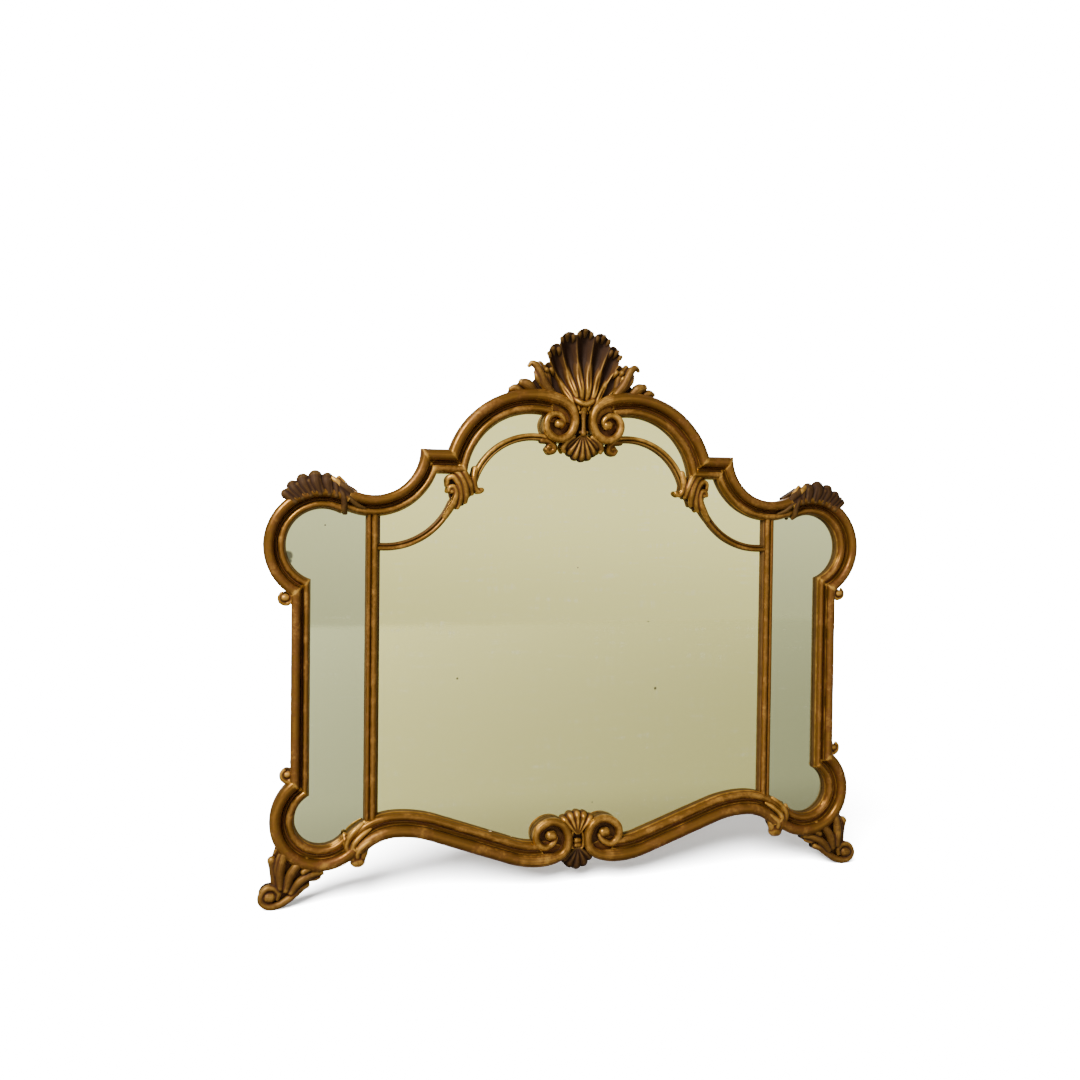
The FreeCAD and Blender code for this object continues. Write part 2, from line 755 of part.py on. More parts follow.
def half_round(centre, radius, start, end):
    """Half-round bar along an arc, its flat back on the glass."""
    half = size("thin_arc_width") / 2

    def place(across, depth):
        return at(polar(centre, radius + across, start), depth)

    face = Part.Face(Part.Wire([
        line(place(-half, GLASS_FRONT), place(half, GLASS_FRONT)),
        arc(place(half, GLASS_FRONT), place(0, GLASS_FRONT + size("thin_arc_rise")),
            place(-half, GLASS_FRONT)),
    ]))
    return face.revolve(at(centre, 0), FORWARD, end - start)


# Acanthus leaf under the step
LEAF_LEFT = -size("acanthus_left_x")
LEAF_RIGHT = -size("acanthus_right_x")
LEAF_TIP = size("acanthus_tip")
LEAF_SHARES = ((0.02, 0.75), (0.0, 0.5), (0.16, 0.36), (0.12, 0.1), (0.3, 0.0), (0.5, 0.08), (0.72, 0.3),
               (0.95, 0.36), (1.0, 0.5), (0.8, 0.6), (0.72, 0.85))


def leaf_point(across, up):
    """Point of the acanthus, as shares of its width and height."""
    return (LEAF_LEFT + across * (LEAF_RIGHT - LEAF_LEFT), LEAF_TIP + up * (STEP_SIGHT - LEAF_TIP))


leaf_outline = [ARCH_SIGHT_CORNER, (LEAF_LEFT, STEP_SIGHT)] + [leaf_point(*share) for share in LEAF_SHARES]
leaf_print = block(leaf_outline, GLASS_FRONT, DEEPEST)
leaf_ridge = at(leaf_point(0.55, 0.5), GLASS_FRONT + size("acanthus_rise"))


def raised_leaf(outline, low, edge, ridge):
    """Leaf with a flat back, an upright rim and a front that rises to a ridge point."""
    rim = block(outline, low, edge)
    corners = [at(point, edge) for point in outline]
    sides = []
    for start, end in zip(corners, corners[1:] + corners[:1]):
        sides.append(Part.Face(Part.makePolygon([start, end, ridge, start])))
    base = Part.Face(Part.makePolygon(corners + corners[:1]))
    crown = Part.Solid(Part.Shell(sides + [base]))
    if crown.Volume < 0:
        crown.reverse()
    return joined([rim, crown])


acanthus = raised_leaf(leaf_outline, GLASS_FRONT, GLASS_FRONT + size("acanthus_rise") / 2, leaf_ridge)

upright_print = block([(-size("upright_x") - size("upright_width") / 2, 0),
                       (-size("upright_x") + size("upright_width") / 2, 0),
                       (-size("upright_x") + size("upright_width") / 2, REACH),
                       (-size("upright_x") - size("upright_width") / 2, REACH)], GLASS_FRONT, DEEPEST)
lower_arc_foot = crossing(LOWER_ARC, size("lower_arc_radius"), x=-size("upright_x"), sign=-1)
lower_arc_top = crossing(LOWER_ARC, size("lower_arc_radius"), height=leaf_point(0, 0.3)[1])
lower_arc = half_round(LOWER_ARC, size("lower_arc_radius"), heading(LOWER_ARC, lower_arc_foot),
                       heading(LOWER_ARC, lower_arc_top))
lower_arc = without(lower_arc, upright_print, leaf_print)

upper_arc_foot = crossing(UPPER_ARC, size("upper_arc_radius"), height=leaf_point(0, 0.55)[1], sign=-1)
upper_arc_start = heading(UPPER_ARC, CREST_VOLUTE)
knob_centre = polar(UPPER_ARC, size("upper_arc_radius") - size("upper_arc_knob_radius"), upper_arc_start)
upper_arc = joined([
    half_round(UPPER_ARC, size("upper_arc_radius"), upper_arc_start, heading(UPPER_ARC, upper_arc_foot)),
    boss(knob_centre, size("upper_arc_knob_radius"), GLASS_FRONT, GLASS_FRONT + size("thin_arc_rise")),
])
upper_arc = without(upper_arc, crest_disc, pendant_print, leaf_print)

# Carvings outside the mouldings' outer edges
arch_disc = disc(ARCH, size("arch_radius"), FRAME_BACK, DEEPEST)
shell_foot = (0, size("crest_tablet_tip"))
shell_tips = fan_tips(shell_foot, size("crest_tip") - shell_foot[1], size("shell_spread"), 90,
                      size("shell_half_angle"), size("shell_flutes"), size("shell_flute_radius"))
shell_fan, shell_print = fan(shell_foot, shell_tips, FRAME_BACK, size("shell_rise"),
                             size("shell_flute_radius"))
crest_shell = without(shell_fan, arch_disc, mirrored(arch_disc), crest_tablet_print)

leaf_front = FRAME_BACK + size("leaf_rise")
curl = (-size("crest_leaf_curl_x"), size("crest_leaf_curl_height"))
bud = (-size("crest_bud_x"), size("crest_bud_height"))
leaf_end = (-size("crest_tip_x"), size("crest_tip_height"))
crest_leaf = joined([
    boss(curl, size("crest_leaf_curl_radius"), FRAME_BACK, leaf_front),
    boss(bud, size("crest_bud_radius"), FRAME_BACK, leaf_front),
    boss(leaf_end, size("crest_tip_radius"), FRAME_BACK, leaf_front),
    block([curl, bud, leaf_end, polar(ARCH, size("arch_radius"), heading(ARCH, leaf_end)), ARCH,
           polar(ARCH, size("arch_radius"), heading(ARCH, curl))],
          FRAME_BACK, (FRAME_BACK + leaf_front) / 2),
])
crest_leaf = without(crest_leaf, arch_disc, shell_print)

ear_disc = disc(EAR, size("ear_radius"), FRAME_BACK, DEEPEST)
low_ear_disc = disc(LOW_EAR, size("low_ear_radius"), FRAME_BACK, DEEPEST)
rocaille_front = FRAME_BACK + size("rocaille_rise")
ROCAILLE_START = size("rocaille_start_angle")
ROCAILLE_STEP = size("rocaille_lobe_angle")
ROCAILLE_LOBES = int(size("rocaille_lobes"))
band = disc(EAR, size("ear_radius") + size("rocaille_band"), FRAME_BACK, (FRAME_BACK + rocaille_front) / 2)
band = trimmed(band, (EAR, polar(EAR, REACH, ROCAILLE_START - (ROCAILLE_LOBES - 1) * ROCAILLE_STEP)),
               (polar(EAR, REACH, ROCAILLE_START), EAR))
lobes = [band]
for index in range(ROCAILLE_LOBES):
    crown = size("rocaille_band") * math.sin(math.pi * (index + 0.7) / ROCAILLE_LOBES)
    place = polar(EAR, size("ear_radius") + crown, ROCAILLE_START - index * ROCAILLE_STEP)
    lobes.append(boss(place, size("rocaille_lobe_radius"), FRAME_BACK, rocaille_front))
rocaille = trimmed(without(joined(lobes), ear_disc), (EAR, SHOULDER))

stile_corners = [(-size("stile_x"), 0), (0, 0), (0, REACH), (-size("stile_x"), REACH)]
stile_print = block(stile_corners, FRAME_BACK, DEEPEST)
knob_front = GLASS_FRONT + size("knob_rise")
upper_knob_centre = (-size("upper_knob_x"), size("upper_knob_height"))
lower_knob_centre = (-size("lower_knob_x"), size("lower_knob_height"))
upper_knob = boss(upper_knob_centre, size("knob_radius"), FRAME_BACK, knob_front)
upper_knob = without(upper_knob, stile_print, ear_disc)
lower_knob = boss(lower_knob_centre, size("knob_radius"), FRAME_BACK, knob_front)
lower_knob = without(lower_knob, stile_print, low_ear_disc)
drop = without(boss((-size("drop_x"), size("drop_height")), size("drop_radius"), FRAME_BACK,
                    GLASS_FRONT + size("drop_rise")), low_ear_disc, rail_body)

# Scroll foot with the leaf that rises from it to the lower ear
foot_centre = (-size("foot_x"), size("foot_radius") - size("foot_flat"))
inner = -size("foot_leaf_inner_x")
foot_step = size("foot_leaf_step")
foot_outline = [
    (foot_centre[0], foot_centre[1]),
    (foot_centre[0] + foot_step / 3, 2 * size("foot_radius")),
    polar(LOW_EAR, size("low_ear_radius") + foot_step / 4, size("foot_leaf_top_angle")),
    LOW_EAR,
    (inner, LOW_EAR[1] - size("low_ear_radius")),
    (inner, foot_step * 2),
    (inner - foot_step, foot_step * 1.6),
    (inner - foot_step, foot_step * 1.15),
    polar(foot_centre, size("foot_radius"), size("foot_leaf_heel_angle")),
]
foot = joined([
    boss(foot_centre, size("foot_radius"), FRAME_BACK, GLASS_FRONT + size("foot_rise")),
    block(foot_outline, FRAME_BACK, GLASS_FRONT + size("foot_leaf_rise")),
])
foot = trimmed(without(foot, low_ear_disc), ((-REACH, 0), (REACH, 0)))

# Mirror plates: one field cut into seven behind the glazing bars
half_gap = size("plate_gap") / 2
field = glazed_block(size("rebate_width") - size("glass_clearance"), FRAME_BACK, GLASS_FRONT)


def margin_band(grow):
    """Zone of the arch margin plate, grown or shrunk by half the gap between plates."""
    left = LOWER_ARC[0] + size("lower_arc_radius") + 2 * size("plate_gap") - grow
    right = CREST_VOLUTE[0] + size("crest_volute_radius") / 2 + grow
    low = size("margin_foot_height") - grow
    zone = block([(left, low), (right, low), (right, REACH), (left, REACH)], FRAME_BACK, GLASS_FRONT)
    return zone.cut(disc(UPPER_ARC, size("upper_arc_radius") - grow, FRAME_BACK, GLASS_FRONT))


def upright_line(shift):
    """Upright line of the left glazing bar, moved sideways."""
    x = -size("upright_x") + shift
    return ((x, 0), (x, REACH))


side_plate = trimmed(field, upright_line(-half_gap))
arch_plate = field.common(margin_band(-half_gap))
shoulder_plate = trimmed(
    field.common(disc(LOWER_ARC, size("lower_arc_radius") - half_gap, FRAME_BACK, GLASS_FRONT)),
    back_to_front(upright_line(half_gap)))
shoulder_zone = disc(LOWER_ARC, size("lower_arc_radius") + half_gap, FRAME_BACK, GLASS_FRONT)
arch_zone = margin_band(half_gap)
outer_zone = left_of(*upright_line(half_gap))
centre_plate = without(field, outer_zone, mirrored(outer_zone), shoulder_zone, mirrored(shoulder_zone),
                       arch_zone, mirrored(arch_zone))

# Fasteners, left half: where they go in and the holes they go into; nails on a round are set by its angles
BOARD_BACK = size("batten_thickness")
nail_line = (size("rebate_width") + size("board_overlap")) / 2
rail_nail_up = size("rail_width") - nail_line
nail_points = [
    (STILE_SIGHT - nail_line, (LOW_EAR[1] + EAR[1]) / 2 - size("nail_spread") / 2),
    (STILE_SIGHT - nail_line, (LOW_EAR[1] + EAR[1]) / 2 - size("nail_spread") * 1.5),
    polar(EAR, EAR_SIGHT + nail_line, 110),
    polar(EAR, EAR_SIGHT + nail_line, 215),
    polar(LOW_EAR, LOW_EAR_SIGHT + nail_line, 255),
    polar(SHOULDER, SHOULDER_SIGHT - nail_line, 280),
    polar(ARCH, ARCH_SIGHT + nail_line, 135),
    polar(ARCH, ARCH_SIGHT + nail_line, 105),
    along_line(polar(HUMP_INNER, size("hump_inner_radius") + rail_nail_up, 90 - SLOPE),
               polar(TROUGH, size("trough_radius") - rail_nail_up, 270 - SLOPE), 0.5),
    polar(TROUGH, size("trough_radius") - rail_nail_up, 270 - SLOPE),
]
upper_half = -EAR[0] + EAR_SIGHT + size("board_overlap") - size("batten_end_margin")
lower_half = -LOW_EAR[0] + LOW_EAR_SIGHT + size("board_overlap") - size("batten_end_margin")
screw_points = []
for half_length, height in ((upper_half, EAR[1]), (lower_half, LOW_EAR[1])):
    for side in (-1, 1):
        screw_points.append((size("screw_inset") - half_length, height + side * size("screw_spread") / 2))
strap_points = []
for index in range(2):
    rise = size("strap_screw_first") + index * size("strap_screw_pitch")
    strap_points.append((-size("strap_x"), size("strap_height") + rise))


def pins(points, radius, low, high):
    """Round pins at several points, between two depths."""
    return [disc(point, radius, low, high) for point in points]


slack = size("hole_clearance")
STRAP_BACK = BOARD_BACK - size("strap_thickness")
nail_tip = BOARD_BACK + size("nail_length")
strap_screw_tip = STRAP_BACK + size("strap_screw_length")
drilled = Part.makeCompound(
    pins(nail_points, size("nail_radius") + slack, BOARD_BACK, nail_tip + slack)
    + pins(screw_points, size("screw_radius") + slack, 0, size("screw_length") + slack)
    + pins(strap_points, size("strap_screw_radius") + slack, STRAP_BACK, strap_screw_tip + slack))

both_drilled = Part.makeCompound([drilled, mirrored(drilled)])
back_board = glazed_block(size("board_overlap"), BOARD_BACK, FRAME_BACK).cut(both_drilled)


def nail(point):
    """Wire nail with a flat head against the board."""
    head = disc(point, size("nail_head_radius"), BOARD_BACK - size("nail_head_height"), BOARD_BACK)
    return joined([head, disc(point, size("nail_radius"), BOARD_BACK, nail_tip)])


def countersunk(point, low, high, radius, head_radius, head_height):
    """Screw with a conical head whose face is at the first depth."""
    head = Part.makeCone(head_radius, radius, head_height, at(point, low), FORWARD)
    return joined([head, disc(point, radius, low + head_height, high)])


def round_head(point, low, high, radius, head_radius, head_height):
    """Screw with a flat round head behind the first depth."""
    head = disc(point, head_radius, low - head_height, low)
    return joined([head, disc(point, radius, low, high)])


def both_sides(solids):
    """Group of separate solids on both halves."""
    return Part.makeCompound(solids + [mirrored(solid) for solid in solids])


batten_screws = both_sides([
    countersunk(point, 0, size("screw_length"), size("screw_radius"), size("screw_head_radius"),
                size("screw_head_height")) for point in screw_points])
strap_screws = both_sides([
    round_head(point, STRAP_BACK, strap_screw_tip, size("strap_screw_radius"),
               size("strap_screw_head_radius"), size("strap_screw_head_height"))
    for point in strap_points])
board_nails = both_sides([nail(point) for point in nail_points])

# Ring: a bar through the strap's eye, two rounded corners, two sides and a half-round end
EYE_RADIUS = size("ring_wire_radius") + size("eye_clearance")
EYE_OUTER = EYE_RADIUS + size("strap_thickness")
PIVOT_DEPTH = BOARD_BACK - EYE_OUTER
pivot = (-size("strap_x"), size("strap_height"))
wire = size("ring_wire_radius")
corner = size("ring_corner_radius")
half_bar = size("ring_bar_length") / 2
ring_half = half_bar + corner
side_top = pivot[1] - corner
side_foot = side_top - size("ring_drop")


def ring_arc(centre, radius, start, end):
    """Round wire along an arc in the plane of the ring."""
    section = Part.Face(Part.Wire(Part.makeCircle(wire, at(polar(centre, radius, start), PIVOT_DEPTH),
                                                  at(polar((0, 0), 1, start + 90), 0))))
    return section.revolve(at(centre, PIVOT_DEPTH), FORWARD, end - start)


ring_pieces = [
    Part.makeCylinder(wire, 2 * half_bar, at((pivot[0] - half_bar, pivot[1]), PIVOT_DEPTH), RIGHT),
    ring_arc((pivot[0] - half_bar, side_top), corner, 90, 180),
    ring_arc((pivot[0] + half_bar, side_top), corner, 0, 90),
    ring_arc((pivot[0], side_foot), ring_half, 180, 360),
]
for side in (-1, 1):
    start = at((pivot[0] + side * ring_half, side_foot), PIVOT_DEPTH)
    ring_pieces.append(Part.makeCylinder(wire, size("ring_drop"), start, UP))
hanger_ring = joined(ring_pieces)

# Uprights: a bar with two beads, padded up from the rail and cut to the rounds it meets
upright_body = doc.addObject("PartDesign::Body", "upright_bar")
bar_sketch = upright_body.newObject("Sketcher::SketchObject", "upright_section")
for plane in upright_body.Origin.OriginFeatures:
    if plane.Role == "XY_Plane":
        bar_sketch.AttachmentSupport = [(plane, "")]
bar_sketch.MapMode = "FlatFace"
half_bar_width = size("upright_width") / 2
fillet = half_bar_width - size("upright_fillet")
bar_bead = fillet / 2
bead_foot = -(GLASS_FRONT + size("upright_rise") - bar_bead)


def flat(x, y):
    return FreeCAD.Vector(x, y, 0)


bar_sketch.addGeometry([
    Part.LineSegment(flat(-half_bar_width, -GLASS_FRONT), flat(half_bar_width, -GLASS_FRONT)),
    Part.LineSegment(flat(half_bar_width, -GLASS_FRONT), flat(half_bar_width, bead_foot)),
    Part.LineSegment(flat(half_bar_width, bead_foot), flat(fillet, bead_foot)),
    Part.Arc(flat(fillet, bead_foot), flat(bar_bead, bead_foot - bar_bead), flat(0, bead_foot)),
    Part.Arc(flat(0, bead_foot), flat(-bar_bead, bead_foot - bar_bead), flat(-fillet, bead_foot)),
    Part.LineSegment(flat(-fillet, bead_foot), flat(-half_bar_width, bead_foot)),
    Part.LineSegment(flat(-half_bar_width, bead_foot), flat(-half_bar_width, -GLASS_FRONT)),
], False)
bar_pad = upright_body.newObject("PartDesign::Pad", "upright_pad")
bar_pad.Profile = bar_sketch
bind(bar_pad, Length="sizes.shoulder_height - sizes.hump_height")
bind(upright_body, Placement__Base__x="-sizes.upright_x",
     Placement__Base__z="sizes.hump_height - sizes.ear_height")
TO_FRONT = FreeCAD.Rotation(RIGHT, 90)
TOTAL_DEPTH = ("sizes.batten_thickness + sizes.board_thickness + sizes.glass_thickness"
               " + sizes.moulding_rise + sizes.volute_rise")


def facing_cylinder(label, x, height, radius):
    """Cylinder along the depth, from the wall to the foremost carving."""
    node = primitive("Part::Cylinder", label, x, "0", height, Radius=radius, Height=TOTAL_DEPTH)
    node.Placement = FreeCAD.Placement(node.Placement.Base, TO_FRONT)
    return node


shoulder_round = facing_cylinder("shoulder_round", "-sizes.shoulder_x", "sizes.shoulder_height",
                                 "sizes.shoulder_radius + sizes.shoulder_width")
hump_round = facing_cylinder("hump_round", "-sizes.hump_x", "sizes.hump_height - sizes.hump_outer_radius",
                             "sizes.hump_outer_radius + sizes.rail_width")
rounds = combined("Part::MultiFuse", "upright_rounds", Shapes=[shoulder_round, hump_round])
upright = combined("Part::Cut", "upright_left", Base=upright_body, Tool=rounds)

# Back battens, drilled for their screws


def batten(label, x_half, height):
    """Batten across the back, centred on a height, with its screw holes."""
    bar = primitive("Part::Box", label + "_bar", "-(%s)" % x_half, "sizes.batten_thickness",
                    "%s - sizes.batten_width / 2" % height, Length="2 * (%s)" % x_half,
                    Width="sizes.batten_thickness", Height="sizes.batten_width")
    tools = []
    for side in ("-1", "1"):
        for step_sign in ("-1", "1"):
            x = "%s * (%s - sizes.screw_inset)" % (side, x_half)
            z = "%s + %s * sizes.screw_spread / 2" % (height, step_sign)
            hole = facing_cylinder(label + "_hole", x, z, "sizes.screw_radius + sizes.hole_clearance")
            sink = primitive("Part::Cone", label + "_sink", x, "0", z,
                             Radius1="sizes.screw_head_radius + sizes.hole_clearance",
                             Radius2="sizes.screw_radius + sizes.hole_clearance",
                             Height="sizes.screw_head_height")
            sink.Placement = FreeCAD.Placement(sink.Placement.Base, TO_FRONT)
            tools += [hole, sink]
    holes = combined("Part::MultiFuse", label + "_holes", Shapes=tools)
    return combined("Part::Cut", label, Base=bar, Tool=holes)


upper_batten = batten("upper_batten",
                      "sizes.ear_x + sizes.ear_radius - sizes.ear_width + sizes.board_overlap"
                      " - sizes.batten_end_margin", "sizes.ear_height")
lower_batten = batten("lower_batten", "sizes.low_ear_x + sizes.low_ear_radius - sizes.low_ear_width"
                      " + sizes.board_overlap - sizes.batten_end_margin", "sizes.low_ear_height")

# Hanging strap: a plate with a rolled eye below it
plate = primitive("Part::Box", "strap_plate", "-sizes.strap_x - sizes.strap_width / 2",
                  "sizes.batten_thickness", "sizes.strap_height", Length="sizes.strap_width",
                  Width="sizes.strap_thickness", Height="sizes.strap_length")
PIVOT = "sizes.batten_thickness - sizes.ring_wire_radius - sizes.eye_clearance - sizes.strap_thickness"


def eye_cylinder(label, radius, length):
    """Cylinder along X on the ring's pivot."""
    node = primitive("Part::Cylinder", label, "-sizes.strap_x - %s / 2" % length, PIVOT,
                     "sizes.strap_height", Radius=radius, Height=length)
    node.Placement = FreeCAD.Placement(node.Placement.Base, FreeCAD.Rotation(FreeCAD.Vector(0, 1, 0), 90))
    return node


eye = eye_cylinder("strap_eye", "sizes.ring_wire_radius + sizes.eye_clearance + sizes.strap_thickness",
                   "sizes.eye_length")
bore = eye_cylinder("strap_bore", "sizes.ring_wire_radius + sizes.eye_clearance", "sizes.ring_bar_length")
strap_holes = [bore]
for first in ("0", "1"):
    strap_holes.append(facing_cylinder(
        "strap_hole", "-sizes.strap_x",
        "sizes.strap_height + sizes.strap_screw_first + %s * sizes.strap_screw_pitch" % first,
        "sizes.strap_screw_radius + sizes.hole_clearance"))
strap_blank = combined("Part::Fuse", "strap_blank", Base=plate, Tool=eye)
strap_tools = combined("Part::MultiFuse", "strap_tools", Shapes=strap_holes)
strap = combined("Part::Cut", "hanger_strap_left", Base=strap_blank, Tool=strap_tools)
doc.recompute()

# Sub-parts in the document
for label, shape in (("arch", arch), ("step", step), ("shoulder", shoulder), ("ear", ear), ("stile", stile),
                     ("lower_ear", low_ear), ("bottom_rail", rail)):
    carve_pair(label, shape.cut(drilled))
for label, shape in (("crest_volute", crest_scroll), ("crest_leaf", crest_leaf),
                     ("corner_rocaille", rocaille), ("rail_volute", rail_scroll), ("scroll_foot", foot),
                     ("acanthus", acanthus),
                     ("scroll_knobs", Part.makeCompound([upper_knob, lower_knob])), ("curl_drop", drop),
                     ("upper_arc", upper_arc), ("lower_arc", lower_arc), ("mirror_side", side_plate),
                     ("mirror_arch_margin", arch_plate), ("mirror_shoulder_margin", shoulder_plate),
                     ("hanger_ring", hanger_ring)):
    carve_pair(label, shape)
for label, shape in (("crest_shell", crest_shell), ("crest_tablet", crest_tablet),
                     ("crest_pendant", crest_pendant), ("rail_shell", rail_shell),
                     ("rail_tablet", rail_tablet), ("rail_pendant", rail_pendant),
                     ("mirror_centre", centre_plate), ("back_board", back_board),
                     ("board_nails", board_nails), ("batten_screws", batten_screws),
                     ("strap_screws", strap_screws)):
    carve(label, shape)
for label, node in (("upright", upright), ("hanger_strap", strap)):
    mirror_pair(label, keep(node, label + "_left"))
keep(upper_batten, "upper_batten")
keep(lower_batten, "lower_batten")
doc.recompute()

# Every object sound before anything is written
for node in doc.Objects:
    if "Invalid" in node.State or "Error" in node.State:
        raise RuntimeError("%s failed: %s" % (node.Label, node.State))
for node in NODES:
    if node.Shape.isNull() or not node.Shape.isValid() or not node.Shape.Solids:
        raise RuntimeError("%s has no sound solid" % node.Label)

os.makedirs("parts", exist_ok=True)
for node in NODES:
    node.Shape.exportStep("parts/%s.step" % node.Label)
    print(node.Label, len(node.Shape.Solids), round(node.Shape.Volume))
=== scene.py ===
import math

import bmesh
import bpy
import numpy as np
from mathutils import Matrix, Vector


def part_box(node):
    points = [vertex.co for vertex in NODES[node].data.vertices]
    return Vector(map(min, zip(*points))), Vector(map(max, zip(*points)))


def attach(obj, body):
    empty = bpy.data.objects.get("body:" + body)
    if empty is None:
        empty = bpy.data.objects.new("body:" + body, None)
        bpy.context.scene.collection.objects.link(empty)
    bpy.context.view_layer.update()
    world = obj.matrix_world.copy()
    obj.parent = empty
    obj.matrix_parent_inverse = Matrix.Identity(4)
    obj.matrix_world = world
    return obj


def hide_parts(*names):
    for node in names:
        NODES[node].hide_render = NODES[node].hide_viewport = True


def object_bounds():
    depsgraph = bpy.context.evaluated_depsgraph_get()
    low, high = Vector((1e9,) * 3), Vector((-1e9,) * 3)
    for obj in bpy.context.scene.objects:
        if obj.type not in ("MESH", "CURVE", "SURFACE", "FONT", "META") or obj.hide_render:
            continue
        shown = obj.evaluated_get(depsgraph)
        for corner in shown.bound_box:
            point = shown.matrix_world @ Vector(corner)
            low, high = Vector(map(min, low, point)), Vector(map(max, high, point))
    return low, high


bl_info = {
    "name": "Giltwood overmantel mirror",
    "version": (1, 0, 0),
    "blender": (4, 5, 0),
    "location": "3D View > Sidebar > Mirror",
    "description": "Carved gilt frame, aged plates and plain stage around the packed mirror",
    "category": "Object",
}

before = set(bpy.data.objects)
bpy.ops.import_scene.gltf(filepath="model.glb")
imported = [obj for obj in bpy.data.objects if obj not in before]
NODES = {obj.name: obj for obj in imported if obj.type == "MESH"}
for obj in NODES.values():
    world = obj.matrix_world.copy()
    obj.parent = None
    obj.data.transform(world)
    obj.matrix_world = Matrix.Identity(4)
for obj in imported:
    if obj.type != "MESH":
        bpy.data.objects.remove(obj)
CAD_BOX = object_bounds()
FRAME_BODY = "frame"

# Sizes below are millimetres: x from the middle, height from the feet, depth forward from the wall
MM = 0.001
FEET = -CAD_BOX[0][2] / MM
BACK = -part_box("back_board")[0][1] / MM
GLASS = -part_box("mirror_centre")[0][1] / MM
FRONT = -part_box("stile_left")[0][1] / MM

# Left half: centres, radii and widths of the mouldings and bars; the arcs' spans are degrees
ARCH = (-100, 808)
ARCH_RADIUS, ARCH_WIDTH = 181, 48
SHOULDER = (-415, 866)
SHOULDER_RADIUS, SHOULDER_WIDTH = 90, 41
STEP_WIDTH = 47
EAR = (-508, 680)
EAR_RADIUS, EAR_WIDTH = 110, 42
STILE_X, STILE_WIDTH = -566, 36
LOW_EAR = (-507, 163)
LOW_EAR_RADIUS, LOW_EAR_WIDTH = 97, 47
RAIL_WIDTH = 49
HUMP_TOP = (-366, 120)
HUMP_OUTER_RADIUS, HUMP_INNER_RADIUS = 85, 200
TROUGH_LOW = (-85, 43)
TROUGH_RADIUS = 181
UPRIGHT_X, UPRIGHT_WIDTH = -414, 28
UPRIGHT_LOW, UPRIGHT_HIGH = 152, 745
UPPER_ARC, UPPER_ARC_RADIUS, UPPER_ARC_SPAN = (-98, 770), 126, (76, 172)
LOWER_ARC, LOWER_ARC_RADIUS, LOWER_ARC_SPAN = (-392, 817), 140, (263, 338)
ARC_WIDTH = 15
CREST_VOLUTE = (-50, 922)
RAIL_VOLUTE = (-55, 96)


# Settings

class GiltSettings(bpy.types.PropertyGroup):
    leaf: bpy.props.FloatVectorProperty(
        name="Gold leaf", description="Colour of the sound gold leaf", subtype="COLOR", size=3,
        default=(0.19, 0.086, 0.013), min=0, max=1)
    # Burnished gold of the ridges, which also paints a highlight along them
    rubbed_highlight: bpy.props.FloatVectorProperty(
        name="Rubbed gold", description="Colour of the burnished ridges", subtype="COLOR", size=3,
        default=(0.52, 0.275, 0.05), min=0, max=1)
    bole: bpy.props.FloatVectorProperty(
        name="Bole", description="Red clay that shows where the leaf has worn thin", subtype="COLOR", size=3,
        default=(0.085, 0.021, 0.005), min=0, max=1)
    # This dirt colour also paints shade in the hollows, along the plates and on deep upright walls
    dirt: bpy.props.FloatVectorProperty(
        name="Dirt", description="Brown dirt and wax in the hollows", subtype="COLOR", size=3,
        default=(0.022, 0.008, 0.002), min=0, max=1)
    gesso: bpy.props.FloatVectorProperty(
        name="Gesso", description="White ground that shows in chips", subtype="COLOR", size=3,
        default=(0.72, 0.6, 0.46), min=0, max=1)


class CarvingSettings(bpy.types.PropertyGroup):
    wobble: bpy.props.FloatProperty(
        name="Wobble", description="Height of the unevenness left by hand work", default=0.35 * MM, min=0,
        unit="LENGTH")
    chisel: bpy.props.FloatProperty(
        name="Chisel size", description="Finest form that the carved ornaments keep", default=0.9 * MM,
        min=0.4 * MM, unit="LENGTH")


class PlateSettings(bpy.types.PropertyGroup):
    tint: bpy.props.FloatVectorProperty(
        name="Silver tint", description="Colour of the old silvering seen through the glass", subtype="COLOR",
        size=3, default=(0.88, 0.83, 0.33), min=0, max=1)
    haze: bpy.props.FloatVectorProperty(
        name="Haze", description="Colour of the cloudy streaks", subtype="COLOR", size=3,
        default=(0.95, 0.93, 0.6), min=0, max=1)


class StageSettings(bpy.types.PropertyGroup):
    floor: bpy.props.FloatVectorProperty(
        name="Floor", description="Colour of the pale floor", subtype="COLOR", size=3,
        default=(0.95, 0.95, 0.95), min=0, max=1)
    floor_light: bpy.props.FloatProperty(
        name="Floor light", description="Strength of the light that only the floor takes", default=100, min=0)
    room: bpy.props.FloatProperty(
        name="Room", description="Brightness of the pale wall that the plates reflect", default=1.25, min=0)
    key_power: bpy.props.FloatProperty(
        name="Key light", description="Power of the large soft light on the left", default=230, min=0,
        unit="POWER")
    sky: bpy.props.FloatProperty(
        name="Sky", description="Strength of the even light from all round", default=0.42, min=0)


# Points, paths and shells

def to_frame(points):
    """Array of (x, height, depth) in millimetres as metres in the part's frame."""
    points = np.asarray(points, dtype=float)
    return np.stack([points[:, 0], -points[:, 2], points[:, 1] - FEET], axis=1) * MM


def polar(centre, radius, degrees):
    """Point of the front view at an angle on a circle."""
    angle = math.radians(degrees)
    return (centre[0] + radius * math.cos(angle), centre[1] + radius * math.sin(angle))


def heading(start, end):
    """Direction in degrees from one point of the front view to another."""
    return math.degrees(math.atan2(end[1] - start[1], end[0] - start[0]))


def arc(centre, radius, start, end, spacing=2.5):
    """Points along an arc of the front view, about a spacing apart."""
    count = max(2, int(abs(math.radians(end - start)) * radius / spacing) + 1)
    return [polar(centre, radius, start + (end - start) * step / count) for step in range(count + 1)]


def straight(start, end, spacing=2.5):
    """Points along a straight stretch of the front view, about a spacing apart."""
    count = max(1, int(math.dist(start, end) / spacing))
    return [(start[0] + (end[0] - start[0]) * step / count, start[1] + (end[1] - start[1]) * step / count)
            for step in range(count + 1)]


